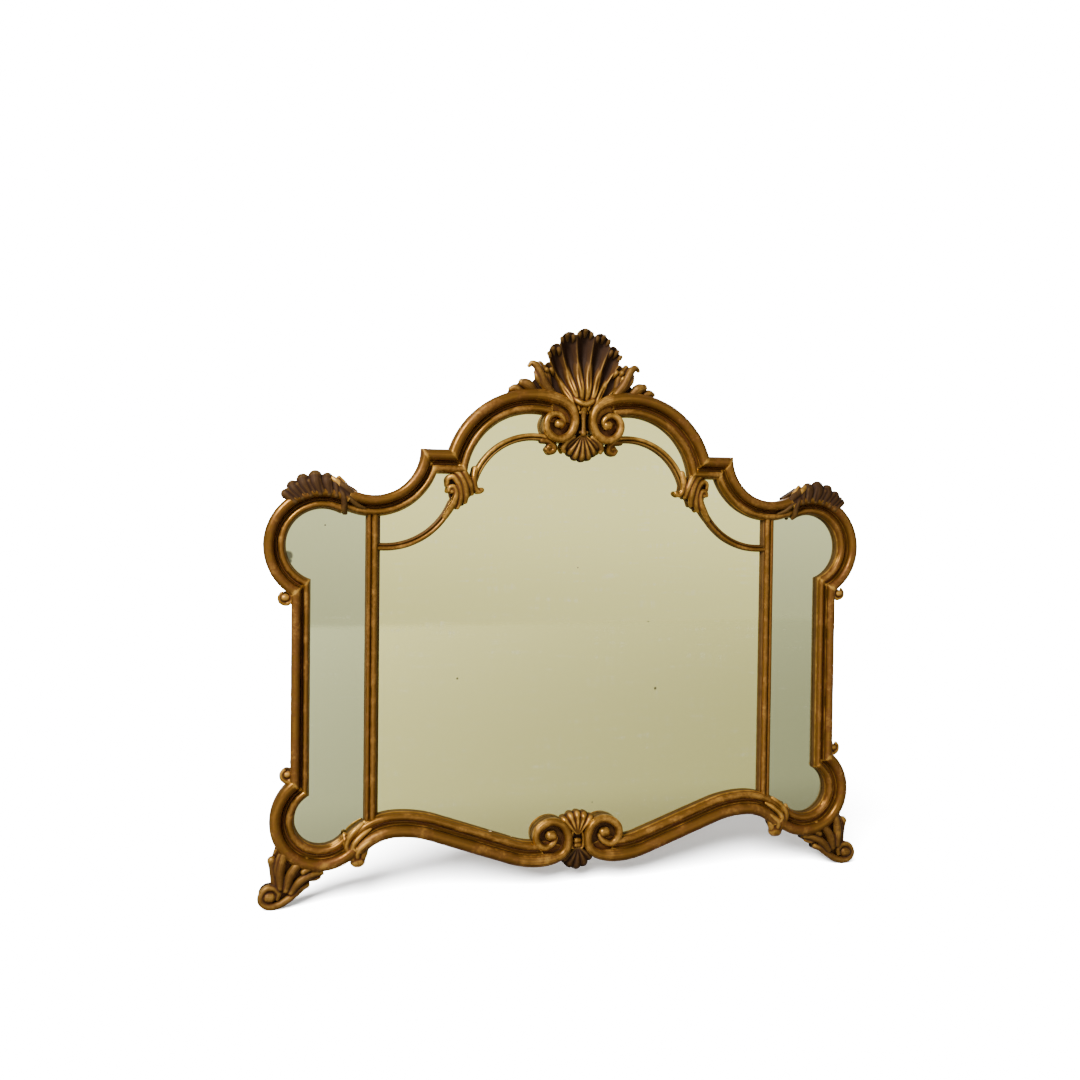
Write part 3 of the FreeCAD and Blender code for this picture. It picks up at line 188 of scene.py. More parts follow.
def smooth_path(controls, per_span=8):
    """Rows of numbers eased through control rows: a Catmull-Rom curve through every one of them."""
    rows = np.asarray(controls, dtype=float)
    padded = np.vstack([2 * rows[0] - rows[1], rows, 2 * rows[-1] - rows[-2]])
    eased = []
    for index in range(1, len(padded) - 2):
        before, start, end, after = padded[index - 1:index + 3]
        for step in range(per_span):
            t = step / per_span
            eased.append(0.5 * (2 * start + (end - before) * t
                                + (2 * before - 5 * start + 4 * end - after) * t ** 2
                                + (3 * start - before - 3 * end + after) * t ** 3))
    eased.append(rows[-1])
    return np.array(eased)


def finger(controls, sides=14, cap_rings=4):
    """Rounded finger of carving along control rows (x, height, depth, radius), closed with round ends."""
    rows = smooth_path(controls)
    centres, radii = rows[:, :3], np.maximum(rows[:, 3], 0.3)
    along = np.gradient(centres, axis=0)
    along /= np.linalg.norm(along, axis=1)[:, None]
    rings = []
    for end, sign in ((0, -1), (-1, 1)):
        cap = []
        for step in range(1, cap_rings):
            bend = math.pi / 2 * step / cap_rings
            cap.append((centres[end] + sign * along[end] * radii[end] * math.sin(bend), along[end],
                        radii[end] * math.cos(bend)))
        rings.append(cap)
    body = list(zip(centres, along, radii))
    turns = np.linspace(0, 2 * math.pi, sides, endpoint=False)
    points = [centres[0] - along[0] * radii[0]]
    for centre, direction, radius in rings[0][::-1] + body + rings[1]:
        side = np.cross(direction, (0, 0, 1))
        side /= max(np.linalg.norm(side), 1e-6)
        up = np.cross(side, direction)
        for turn in turns:
            points.append(centre + radius * (math.cos(turn) * side + math.sin(turn) * up))
    points.append(centres[-1] + along[-1] * radii[-1])
    count = (len(points) - 2) // sides
    faces = []
    for step in range(sides):
        after = (step + 1) % sides
        faces.append((0, 1 + after, 1 + step))
        for ring in range(count - 1):
            low = 1 + ring * sides
            faces.append((low + step, low + after, low + sides + after, low + sides + step))
        last = 1 + (count - 1) * sides
        faces.append((last + step, last + after, len(points) - 1))
    return np.array(points), faces


def ball(x, height, depth, radius):
    """Round boss centred on a point."""
    return finger([(x + side * 0.2 * radius, height, depth, 0.98 * radius) for side in (-1, 1)])


def slab(outline, low, high):
    """Flat block of wood with a given outline, between two depths."""
    count = len(outline)
    points = [(x, height, low) for x, height in outline] + [(x, height, high) for x, height in outline]
    faces = [tuple(range(count)), tuple(range(2 * count - 1, count - 1, -1))]
    for step in range(count):
        after = (step + 1) % count
        faces.append((step, count + step, count + after, after))
    return np.array(points, dtype=float), faces


# Meshes and pieces

def tidy_mesh(mesh):
    """Merge doubles and point every face outwards."""
    work = bmesh.new()
    work.from_mesh(mesh)
    bmesh.ops.remove_doubles(work, verts=work.verts, dist=1e-6)
    bmesh.ops.recalc_face_normals(work, faces=work.faces)
    work.to_mesh(mesh)
    work.free()


def mesh_of(name, shells):
    """One mesh of several closed shells given in millimetres."""
    points, faces, count = [], [], 0
    for shell_points, shell_faces in shells:
        points.append(to_frame(shell_points))
        faces += [tuple(index + count for index in face) for face in shell_faces]
        count += len(shell_points)
    mesh = bpy.data.meshes.new(name)
    mesh.from_pydata(np.vstack(points).tolist(), [], faces)
    tidy_mesh(mesh)
    return mesh


def cut_mesh(mesh, point, normal):
    """Keep the part of a closed mesh on the side that a plane's normal points to, and close the cut."""
    work = bmesh.new()
    work.from_mesh(mesh)
    geometry = work.verts[:] + work.edges[:] + work.faces[:]
    bmesh.ops.bisect_plane(work, geom=geometry, plane_co=point, plane_no=normal, dist=1e-7, clear_inner=True)
    rim = [edge for edge in work.edges if edge.is_boundary]
    if rim:
        bmesh.ops.triangle_fill(work, edges=rim, use_beauty=True)
    bmesh.ops.recalc_face_normals(work, faces=work.faces)
    work.to_mesh(mesh)
    work.free()


def trim_mesh(mesh, *lines):
    """Keep the part of a mesh that lies on the left of every line of the front view."""
    for start, end in lines:
        left = Vector((start[1] - end[1], 0, end[0] - start[0])).normalized()
        cut_mesh(mesh, to_frame([(*start, 0)])[0].tolist(), left)


def baked_mesh(thing):
    """Plain mesh of an object with its modifiers, which goes."""
    bpy.context.view_layer.update()
    shown = thing.evaluated_get(bpy.context.evaluated_depsgraph_get())
    mesh = bpy.data.meshes.new_from_object(shown)
    bpy.data.objects.remove(thing)
    return mesh


def carved_mesh(name, shells, seat, smoothing=3):
    """Overlapping shells melted into one carved solid with a flat back at the seat's depth."""
    thing = bpy.data.objects.new(name, mesh_of(name, shells))
    bpy.context.scene.collection.objects.link(thing)
    melt = thing.modifiers.new("melt", "REMESH")
    melt.mode = "VOXEL"
    melt.voxel_size = bpy.context.scene.mirror_carving.chisel
    soften = thing.modifiers.new("soften", "SMOOTH")
    soften.factor = 0.5
    soften.iterations = smoothing
    mesh = baked_mesh(thing)
    cut_mesh(mesh, (0, -seat * MM, 0), (0, -1, 0))
    return mesh


def mirrored_mesh(mesh, name):
    """Copy of a mesh on the other half."""
    other = mesh.copy()
    other.name = name
    other.transform(Matrix.Scale(-1, 4, (1, 0, 0)))
    other.flip_normals()
    return other


def joined_mesh(name, meshes):
    """One mesh of several."""
    work = bmesh.new()
    for mesh in meshes:
        work.from_mesh(mesh)
    whole = bpy.data.meshes.new(name)
    work.to_mesh(whole)
    work.free()
    return whole


def mark_relief(mesh):
    """Store by how many millimetres each point stands out of what is round it, at two scales."""
    count = len(mesh.vertices)
    points = np.empty(count * 3)
    mesh.vertices.foreach_get("co", points)
    points = points.reshape(-1, 3)
    normals = np.empty(count * 3)
    mesh.vertices.foreach_get("normal", normals)
    normals = normals.reshape(-1, 3)
    edges = np.empty(len(mesh.edges) * 2, dtype=np.int64)
    mesh.edges.foreach_get("vertices", edges)
    first, second = edges.reshape(-1, 2).T
    neighbours = np.bincount(first, minlength=count) + np.bincount(second, minlength=count)
    spacing = np.linalg.norm(points[first] - points[second], axis=1).mean() / MM
    eased = points.copy()
    for name, breadth in (("crease", 2.4), ("relief", 5.2)):
        for _ in range(max(2, round((breadth / spacing) ** 2))):
            total = np.zeros_like(eased)
            for axis in range(3):
                total[:, axis] = (np.bincount(first, eased[second, axis], count)
                                  + np.bincount(second, eased[first, axis], count))
            eased = 0.4 * eased + 0.6 * total / np.maximum(neighbours, 1)[:, None]
        rise = np.einsum("ij,ij->i", points - eased, normals) / MM
        mesh.attributes.new(name, "FLOAT", "POINT").data.foreach_set("value", rise.astype(np.float32))


def sharp_edges(mesh, limit=math.radians(50)):
    """True for each edge whose two faces meet at more than the limit."""
    work = bmesh.new()
    work.from_mesh(mesh)
    sharp = [len(edge.link_faces) == 2 and edge.calc_face_angle(0) > limit for edge in work.edges]
    work.free()
    return sharp


# Share of a face's direction that has to point to the wall for it to stay bare wood
BARE_FACING = 0.6


def add_piece(name, mesh, finish, *replaced):
    """Finished piece on the frame: gilt in front, bare wood on its back, in place of CAD nodes."""
    thing = bpy.data.objects.new(name, mesh)
    mesh.name = name
    bpy.context.scene.collection.objects.link(thing)
    mesh.shade_smooth()
    mark_relief(mesh)
    mesh.materials.clear()
    for title in (finish, "bare_wood"):
        mesh.materials.append(bpy.data.materials[title])
    for face in mesh.polygons:
        face.material_index = int(face.normal.y > BARE_FACING)
    mesh.edges.foreach_set("use_edge_sharp", sharp_edges(mesh))
    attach(thing, FRAME_BODY)
    if replaced:
        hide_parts(*replaced)


def add_pair(name, mesh, finish, *replaced):
    """A left-hand piece and its mirror image, each in place of its own side's CAD nodes."""
    other = mirrored_mesh(mesh, name)
    add_piece(name + "_left", mesh, finish, *[node + "_left" for node in replaced])
    add_piece(name + "_right", other, finish, *[node + "_right" for node in replaced])


# Shader building

def feed(tree, inputs, values):
    """Give values to named inputs: a socket is linked, anything else is set."""
    for name, value in values.items():
        if isinstance(value, bpy.types.NodeSocket):
            tree.links.new(value, inputs[name])
        else:
            inputs[name].default_value = value


def put(tree, kind, inputs=None, **settings):
    """New node with its settings, and with values for its inputs."""
    node = tree.nodes.new(kind)
    for name, value in settings.items():
        setattr(node, name, value)
    feed(tree, node.inputs, inputs or {})
    return node


def calc(tree, operation, first, second=0.0, clamp=False):
    """Result of a sum on two values."""
    return put(tree, "ShaderNodeMath", {0: first, 1: second}, operation=operation, use_clamp=clamp).outputs[0]


def times(tree, first, second):
    """Product of two values."""
    return calc(tree, "MULTIPLY", first, second)


def scaled(tree, value, factor, base):
    """Value times a factor, on top of a base."""
    return put(tree, "ShaderNodeMath", {0: value, 1: factor, 2: base}, operation="MULTIPLY_ADD").outputs[0]


def object_place(tree):
    """Object coordinates."""
    return tree.nodes.new("ShaderNodeTexCoord").outputs["Object"]


def axes_of(tree, vector):
    """The three parts of a vector, by name."""
    return put(tree, "ShaderNodeSeparateXYZ", {0: vector}).outputs


def ease(tree, value, low, high):
    """Mask that rises smoothly from 0 where a value is low to 1 where it is high."""
    return put(tree, "ShaderNodeMapRange", {"Value": value, "From Min": low, "From Max": high},
               interpolation_type="SMOOTHSTEP").outputs[0]


def blend(tree, mask, first, second):
    """Colour between two, by a mask."""
    return put(tree, "ShaderNodeMix", {0: mask, 6: first, 7: second}, data_type="RGBA").outputs[2]


def cloud(tree, coords, scale, detail=3.0, roughness=0.55, distortion=0.0):
    """Value of a soft random pattern; scale is in features per metre."""
    return put(tree, "ShaderNodeTexNoise", {"Vector": coords, "Scale": scale, "Detail": detail,
                                            "Roughness": roughness, "Distortion": distortion}).outputs[0]


def stretched(tree, coords, scale):
    """Object coordinates stretched along the axes."""
    return put(tree, "ShaderNodeMapping", {"Vector": coords, "Scale": scale}).outputs[0]


def opaque(colour):
    """Colour of a setting with its alpha."""
    return (*colour, 1.0)


def new_group(name, inputs, outputs):
    """Shader node group with named sockets, and the ends to link to."""
    tree = bpy.data.node_groups.new(name, "ShaderNodeTree")
    for title, kind, default in inputs:
        socket = tree.interface.new_socket(title, in_out="INPUT", socket_type=kind)
        socket.default_value = default
    for title, kind in outputs:
        tree.interface.new_socket(title, in_out="OUTPUT", socket_type=kind)
    return tree, tree.nodes.new("NodeGroupInput").outputs, tree.nodes.new("NodeGroupOutput").inputs


# Kinds of sockets
FLOAT, COLOUR, VECTOR = "NodeSocketFloat", "NodeSocketColor", "NodeSocketVector"


# Depths between which the painted shade along the plates dies out, and the same painted shade on upright
# walls
SEAT_SHADE = (GLASS + 6, GLASS + 11.5)
WALL_SHADE = (GLASS + 7, GLASS + 11.5)


def worn_gilding():
    """Group: gilding over red bole, burnished and painted with a highlight on its ridges, dirty and painted
    with shade in its hollows and along the plates, and chipped to the gesso.
    """
    gilt = bpy.context.scene.mirror_gilt
    tree, given, result = new_group("worn_gilding", [
        ("Relief", FLOAT, 0.0), ("Crease", FLOAT, 0.0), ("Dirt", FLOAT, 0.0), ("Chips", FLOAT, 0.0),
        ("Leaf", COLOUR, opaque(gilt.leaf)), ("Rubbed Highlight", COLOUR, opaque(gilt.rubbed_highlight)),
        ("Bole", COLOUR, opaque(gilt.bole)), ("Dirt And Shade Colour", COLOUR, opaque(gilt.dirt)),
        ("Gesso", COLOUR, opaque(gilt.gesso)),
    ], [("Color", COLOUR), ("Roughness", FLOAT), ("Metallic", FLOAT), ("Height", FLOAT)])
    place = tree.nodes.new("ShaderNodeTexCoord").outputs
    coords = place["Object"]
    patches = cloud(tree, coords, 24.0, 4.0, 0.6)
    mottle = cloud(tree, coords, 170.0, 4.0, 0.65)
    pores = cloud(tree, coords, 620.0, 2.0)
    flakes = cloud(tree, coords, 75.0, 5.0, 0.7)

    # Ridges, hollows and creases, made uneven by the two patterns
    fine = times(tree, calc(tree, "SUBTRACT", mottle, 0.5), 0.9)
    broad = times(tree, calc(tree, "SUBTRACT", patches, 0.5), 1.2)
    relief = calc(tree, "ADD", given["Relief"], calc(tree, "ADD", fine, broad))
    ridge = ease(tree, relief, 0.05, 0.95)
    hollow = ease(tree, relief, 0.1, -1.2)
    crease = ease(tree, given["Crease"], 0.0, -0.3)

    # Leaf worn through to the bole, bole also darkening the hollows, partly as painted shade, and burnished
    # on the ridges, where the brighter gold is also a painted highlight
    worn = ease(tree, calc(tree, "ADD", patches, times(tree, mottle, 0.5)), 0.63, 0.88)
    burnish_highlight = times(tree, ease(tree, patches, 0.2, 0.62), 0.85)
    tone = blend(tree, times(tree, worn, 0.8), given["Leaf"], given["Bole"])
    tone = blend(tree, times(tree, hollow, 0.6), tone, given["Bole"])
    tone = blend(tree, times(tree, ridge, burnish_highlight), tone, given["Rubbed Highlight"])

    # Dirt and painted shade in the hollows and creases, painted shade along the plates and on deep upright
    # walls, and dirt all over; the ridges are spared
    dirt_and_shade = calc(tree, "ADD", times(tree, hollow, 0.28), times(tree, crease, 0.6))
    dirt_and_shade = times(tree, dirt_and_shade, ease(tree, calc(tree, "ADD", mottle, patches), 1.35, 0.75))
    depth = axes_of(tree, coords)["Y"]
    # Painted shade: darker close to the plates, and on steep walls that stand deep by the plates
    seat_low, seat_high = SEAT_SHADE
    seat = ease(tree, depth, -seat_high * MM, -seat_low * MM)
    wall_low, wall_high = WALL_SHADE
    upright = ease(tree, calc(tree, "ABSOLUTE", axes_of(tree, place["Normal"])["Y"]), 0.5, 0.15)
    wall = times(tree, upright, ease(tree, depth, -wall_high * MM, -wall_low * MM))
    dirt_and_shade = calc(tree, "MAXIMUM", dirt_and_shade, times(tree, calc(tree, "MAXIMUM", seat, wall), 0.85))
    clean = times(tree, ridge, calc(tree, "SUBTRACT", 0.75, times(tree, given["Dirt"], 0.7)))
    spared = calc(tree, "SUBTRACT", 1.0, clean)
    dirt_and_shade = calc(tree, "ADD", dirt_and_shade, times(tree, given["Dirt"], spared), clamp=True)
    tone = blend(tree, dirt_and_shade, tone, given["Dirt And Shade Colour"])

    # Chips down to the gesso
    loose = ease(tree, calc(tree, "ADD", flakes, times(tree, ridge, 0.1)), 0.73, 0.75)
    chip = times(tree, loose, given["Chips"])
    tone = blend(tree, chip, tone, given["Gesso"])

    dull = calc(tree, "MAXIMUM", calc(tree, "MAXIMUM", dirt_and_shade, chip), times(tree, worn, 0.5))
    rough = scaled(tree, dull, 0.42, 0.26)
    shine = times(tree, calc(tree, "SUBTRACT", 1.0, dull, clamp=True), 0.82)
    height = calc(tree, "ADD", times(tree, mottle, 0.7), times(tree, pores, 0.22))
    height = calc(tree, "SUBTRACT", height, times(tree, chip, 0.8))
    feed(tree, result, {"Color": tone, "Roughness": rough, "Metallic": shine, "Height": height})
    return tree


def timber_grain():
    """Group: long grain with soft and hard rings, pores and stains; stretched by its coordinates."""
    tree, given, result = new_group("timber_grain", [("Coordinates", VECTOR, (0, 0, 0))],
                                    [("Rings", FLOAT), ("Stain", FLOAT), ("Height", FLOAT)])
    coords = given["Coordinates"]
    rings = ease(tree, cloud(tree, coords, 7.0, 6.0, 0.62, 0.6), 0.36, 0.64)
    pores = cloud(tree, coords, 160.0, 4.0, 0.7)
    stain = cloud(tree, coords, 5.0, 4.0)
    height = calc(tree, "ADD", times(tree, rings, 0.4), pores)
    feed(tree, result, {"Rings": rings, "Stain": stain, "Height": height})
    return tree


def tarnish():
    """Group: blotches and fine rubbing marks on metal."""
    tree, given, result = new_group("tarnish", [("Scale", FLOAT, 1.0)],
                                    [("Blotch", FLOAT), ("Rubbing", FLOAT)])
    coords = object_place(tree)
    blotch = cloud(tree, coords, times(tree, given["Scale"], 240.0), 4.0, 0.65)
    drawn = stretched(tree, coords, (6.0, 1.0, 1.0))
    rubbing = cloud(tree, drawn, times(tree, given["Scale"], 700.0), 2.0)
    feed(tree, result, {"Blotch": blotch, "Rubbing": rubbing})
    return tree


def new_material(name):
    """Empty node material and its shader."""
    material = bpy.data.materials.new(name)
    material.use_nodes = True
    return material, material.node_tree, material.node_tree.nodes["Principled BSDF"]


def raise_surface(tree, shader, height, distance, strength=0.5):
    """Fine relief of a surface from a height."""
    bump = put(tree, "ShaderNodeBump", {"Height": height, "Distance": distance, "Strength": strength})
    tree.links.new(bump.outputs[0], shader.inputs["Normal"])


# Length over which the chips thin out at both ends of their stretch
CHIP_FADE = 30 * MM


def gilt_material(name, group, dirt, chips=0.0, dirt_span=None, chip_box=None):
    """Worn gilding. Dirt grows upwards over dirt_span, two heights; chips lie within chip_box, two x."""
    material, tree, shader = new_material(name)
    relief = put(tree, "ShaderNodeAttribute", attribute_name="relief").outputs["Fac"]
    crease = put(tree, "ShaderNodeAttribute", attribute_name="crease").outputs["Fac"]
    axes = axes_of(tree, object_place(tree))
    if dirt_span:
        low, high = [(height - FEET) * MM for height in dirt_span]
        dirt = times(tree, ease(tree, axes["Z"], low, high), dirt)
    if chip_box:
        start, end = [x * MM for x in chip_box]
        rise = ease(tree, axes["X"], start, start + CHIP_FADE)
        fall = ease(tree, axes["X"], end, end - CHIP_FADE)
        chips = times(tree, times(tree, rise, fall), chips)
    finish = put(tree, "ShaderNodeGroup", {"Relief": relief, "Crease": crease, "Dirt": dirt, "Chips": chips},
                 node_tree=group).outputs
    feed(tree, shader.inputs, {"Base Color": finish["Color"], "Roughness": finish["Roughness"],
                               "Metallic": finish["Metallic"], "Specular IOR Level": 0.15})
    raise_surface(tree, shader, finish["Height"], 0.6 * MM)
    return material


def wood_material(name, group, pale, dark, stretch):
    """Bare old softwood, its grain stretched along one axis."""
    material, tree, shader = new_material(name)
    coords = object_place(tree)
    grain = put(tree, "ShaderNodeGroup", {"Coordinates": stretched(tree, coords, stretch)},
                node_tree=group).outputs
    tone = blend(tree, grain["Rings"], pale, dark)
    tone = blend(tree, ease(tree, grain["Stain"], 0.5, 0.85), tone, (0.08, 0.045, 0.022, 1))
    feed(tree, shader.inputs, {"Base Color": tone, "Roughness": scaled(tree, grain["Stain"], 0.25, 0.6)})
    raise_surface(tree, shader, grain["Height"], 0.5 * MM, 0.4)
    return material


def metal_material(name, group, clean, aged, roughness):
    """Old metal with blotches of tarnish."""
    material, tree, shader = new_material(name)
    marks = put(tree, "ShaderNodeGroup", {"Scale": 1.0}, node_tree=group).outputs
    aged_mask = ease(tree, marks["Blotch"], 0.4, 0.62)
    feed(tree, shader.inputs, {"Base Color": blend(tree, aged_mask, clean, aged),
                               "Roughness": scaled(tree, aged_mask, 0.3, roughness), "Metallic": 0.9})
    raise_surface(tree, shader, marks["Rubbing"], 0.1 * MM, 0.3)
    return material


# Places where the silvering has gone: x, height and radius
LOST_SILVER = ((-573, 660, 11), (-571, 650, 7), (-247, 420, 2.5), (168, 388, 3.5))


def plate_material():
    """Old silvered glass: sage tint, cloudy streaks, dark specks and a little loss at the edges."""
    plate = bpy.context.scene.mirror_plate
    material, tree, shader = new_material("silvered_plate")
    coords = object_place(tree)
    level = cloud(tree, stretched(tree, coords, (3.0, 1.0, 26.0)), 3.0, 5.0, 0.6)
    upright = cloud(tree, stretched(tree, coords, (30.0, 1.0, 4.0)), 3.0, 4.0, 0.6)
    haze = times(tree, ease(tree, level, 0.5, 0.78), ease(tree, upright, 0.42, 0.7))
    tone = blend(tree, times(tree, haze, 0.8), opaque(plate.tint), opaque(plate.haze))
    # Painted reflection: the side plates beyond the uprights are darker and more olive
    across = calc(tree, "ABSOLUTE", axes_of(tree, coords)["X"])
    side = ease(tree, across, -UPRIGHT_X * MM - 0.01, -UPRIGHT_X * MM + 0.01)
    tone = blend(tree, times(tree, side, 0.8), tone, (0.5, 0.53, 0.31, 1))
    cells = put(tree, "ShaderNodeTexVoronoi", {"Vector": coords, "Scale": 26.0, "Randomness": 1.0})
    draw = put(tree, "ShaderNodeSeparateColor", {0: cells.outputs["Color"]}).outputs[0]
    rare = ease(tree, draw, 0.86, 0.88)
    speck = times(tree, ease(tree, cells.outputs["Distance"], 0.05, 0.03), rare)
    for x, height, radius in LOST_SILVER:
        centre = to_frame([(x, height, GLASS)])[0]
        away = put(tree, "ShaderNodeVectorMath", {0: coords, 1: centre.tolist()}, operation="DISTANCE")
        ragged = times(tree, calc(tree, "SUBTRACT", upright, 0.5), radius * MM)
        away = calc(tree, "ADD", away.outputs["Value"], ragged)
        speck = calc(tree, "MAXIMUM", speck, ease(tree, away, radius * MM, 0.6 * radius * MM))
    tone = blend(tree, times(tree, speck, 0.85), tone, (0.05, 0.045, 0.035, 1))
    rough = scaled(tree, calc(tree, "MAXIMUM", haze, speck), 0.22, 0.035)
    feed(tree, shader.inputs, {"Base Color": tone, "Roughness": rough, "Metallic": 1.0})
    raise_surface(tree, shader, cloud(tree, coords, 9.0, 2.0), 0.15 * MM, 0.2)
    return material


def make_materials():
    """Every finish of the object."""
    gilding = worn_gilding()
    grain = timber_grain()
    aged = tarnish()
    gilt_material("fresh_gilt", gilding, 0.1)
    gilt_material("chipped_gilt", gilding, 0.16, chips=1.0, chip_box=(-310, -110))
    gilt_material("aged_gilt", gilding, 0.54)
    gilt_material("brown_gilt", gilding, 0.93)
    gilt_material("shell_gilt", gilding, 0.95, dirt_span=(945, 1080))
    wood_material("bare_wood", grain, (0.3, 0.175, 0.085, 1), (0.16, 0.085, 0.04, 1), (0.8, 6.0, 6.0))
    wood_material("board_wood", grain, (0.42, 0.27, 0.14, 1), (0.24, 0.135, 0.065, 1), (6.0, 6.0, 0.4))
    wood_material("batten_wood", grain, (0.36, 0.22, 0.11, 1), (0.19, 0.105, 0.05, 1), (0.4, 6.0, 6.0))
    metal_material("old_iron", aged, (0.13, 0.12, 0.11, 1), (0.07, 0.035, 0.02, 1), 0.45)
    metal_material("old_brass", aged, (0.6, 0.42, 0.16, 1), (0.22, 0.13, 0.05, 1), 0.32)
    plate_material()


# Sweeps by geometry nodes

def sweep_tree():
    """Geometry nodes: a section swept along a flat path, made a little uneven and stood up."""
    tree = bpy.data.node_groups.new("moulding_sweep", "GeometryNodeTree")
    tree.interface.new_socket("Geometry", in_out="INPUT", socket_type="NodeSocketGeometry")
    for title, kind in (("Section", "NodeSocketObject"), ("Wobble", FLOAT), ("Marks per Metre", FLOAT),
                        ("Drop", FLOAT), ("Finish", "NodeSocketMaterial")):
        tree.interface.new_socket(title, in_out="INPUT", socket_type=kind)
    tree.interface.new_socket("Geometry", in_out="OUTPUT", socket_type="NodeSocketGeometry")
    given = tree.nodes.new("NodeGroupInput").outputs
    result = tree.nodes.new("NodeGroupOutput").inputs
    section = put(tree, "GeometryNodeObjectInfo", {"Object": given["Section"]})
    path = put(tree, "GeometryNodeSetCurveNormal", {"Curve": given["Geometry"]}, mode="Z_UP")
    swept = put(tree, "GeometryNodeCurveToMesh", {"Curve": path.outputs[0], "Fill Caps": True,
                                                  "Profile Curve": section.outputs["Geometry"]})
    marks = put(tree, "ShaderNodeTexNoise", {"Vector": tree.nodes.new("GeometryNodeInputPosition").outputs[0],
                                             "Scale": given["Marks per Metre"], "Detail": 2.0})
    height = times(tree, calc(tree, "SUBTRACT", marks.outputs[0], 0.5), given["Wobble"])
    push = put(tree, "ShaderNodeVectorMath", {0: tree.nodes.new("GeometryNodeInputNormal").outputs[0],
                                              "Scale": height}, operation="SCALE")
    uneven = put(tree, "GeometryNodeSetPosition", {"Geometry": swept.outputs[0], "Offset": push.outputs[0]})
    down = put(tree, "ShaderNodeCombineXYZ", {"Z": given["Drop"]})
    stood = put(tree, "GeometryNodeTransform", {"Geometry": uneven.outputs[0], "Translation": down.outputs[0],
                                                "Rotation": (math.pi / 2, 0, 0)})
    real = put(tree, "GeometryNodeRealizeInstances", {"Geometry": stood.outputs[0]})
    finished = put(tree, "GeometryNodeSetMaterial", {"Geometry": real.outputs[0],
                                                     "Material": given["Finish"]})
    tree.links.new(finished.outputs[0], result["Geometry"])
    return tree


def flat_curve(name, points, closed):
    """Curve object through flat points given in millimetres."""
    curve = bpy.data.curves.new(name, "CURVE")
    curve.dimensions = "3D"
    spline = curve.splines.new("POLY")
    spline.points.add(len(points) - 1)
    for knot, point in zip(spline.points, points):
        knot.co = (point[0] * MM, point[1] * MM, 0, 1)
    spline.use_cyclic_u = closed
    thing = bpy.data.objects.new(name, curve)
    bpy.context.scene.collection.objects.link(thing)
    return thing


def swept_mesh(name, path, section, finish):
    """Mesh of a section (across to the right of the path, depth) swept along a path of the front view."""
    carving = bpy.context.scene.mirror_carving
    tree = bpy.data.node_groups.get("moulding_sweep") or sweep_tree()
    thing = flat_curve(name, path, False)
    profile = flat_curve(name + "_section", [(across, -depth) for across, depth in section], True)
    modifier = thing.modifiers.new("sweep", "NODES")
    modifier.node_group = tree
    values = {"Section": profile, "Wobble": 2 * carving.wobble, "Marks per Metre": 34.0, "Drop": -FEET * MM,
              "Finish": bpy.data.materials[finish]}
    for item in tree.interface.items_tree:
        if item.in_out == "INPUT" and item.name in values:
            modifier[item.identifier] = values[item.name]
    mesh = baked_mesh(thing)
    bpy.data.objects.remove(profile)
    tidy_mesh(mesh)
    return mesh


def half_round(centre, level, radius, rise, start=180, end=0, count=14):
    """Points (across, depth) of a round bead, from one angle to another."""
    points = []
    for step in range(count + 1):
        angle = math.radians(start + (end - start) * step / count)
        points.append((centre + radius * math.cos(angle), level + rise * math.sin(angle)))
    return points


def moulding_section(width):
    """Frame moulding from its sight edge outwards: bevel, bead, fillet, cove, quirk, outer roll, back."""
    roll = 0.235 * width
    bead = 0.145 * width
    bevel = 3
    bead_level = GLASS + 13
    fillet = bevel + 2 * bead
    cove_start, cove_end = fillet + 2.4, width - 2 * roll - 1.4
    roll_level = FRONT - roll
    points = [(0, GLASS + 4), (0.9, GLASS + 9), (bevel - 0.5, bead_level - 1)]
    points += half_round(bevel + bead, bead_level, bead, bead * 1.12)
    points += [(fillet + 0.7, bead_level - 1.8), (cove_start, bead_level - 1.4)]
    for step in range(1, 10):
        share = step / 9
        points.append((cove_start + (cove_end - cove_start) * share,
                       bead_level - 1.4 + (roll_level - bead_level + 1.8) * share ** 2.2))
    points.append((cove_end + 0.7, roll_level - 2.2))
    points += half_round(width - roll, roll_level, roll, roll, count=22)
    points += [(width, roll_level - 6), (width - 0.6, BACK + 6), (width - 1.5, BACK)]
    points += [(8, BACK), (8, GLASS), (0, GLASS)]
    return points


def crossing(centre, radius, x=None, height=None, sign=1):
    """Point where a circle crosses an upright or a level line, on the given side."""
    if x is not None:
        return (x, centre[1] + sign * math.sqrt(radius ** 2 - (x - centre[0]) ** 2))
    return (centre[0] + sign * math.sqrt(radius ** 2 - (height - centre[1]) ** 2), height)


# Joints of the frame, left half
STILE_SIGHT = STILE_X + STILE_WIDTH
STEP_TOP = SHOULDER[1]
STEP_SIGHT = STEP_TOP - STEP_WIDTH
ARCH_SIGHT = ARCH_RADIUS - ARCH_WIDTH
SHOULDER_SIGHT = SHOULDER_RADIUS + SHOULDER_WIDTH
EAR_SIGHT = EAR_RADIUS - EAR_WIDTH
LOW_EAR_SIGHT = LOW_EAR_RADIUS - LOW_EAR_WIDTH
HUMP_OUTER = (HUMP_TOP[0], HUMP_TOP[1] - HUMP_OUTER_RADIUS)
HUMP_INNER = (HUMP_TOP[0], HUMP_TOP[1] - HUMP_INNER_RADIUS)
TROUGH = (TROUGH_LOW[0], TROUGH_LOW[1] + TROUGH_RADIUS)
EAR_JOINT = heading(EAR, SHOULDER)
LOW_EAR_JOINT = heading(LOW_EAR, HUMP_OUTER)
HUMP_TO_TROUGH = math.dist(HUMP_INNER, TROUGH)
SLOPE = 90 - heading(HUMP_INNER, TROUGH) - math.degrees(
    math.acos((HUMP_INNER_RADIUS + TROUGH_RADIUS) / HUMP_TO_TROUGH))
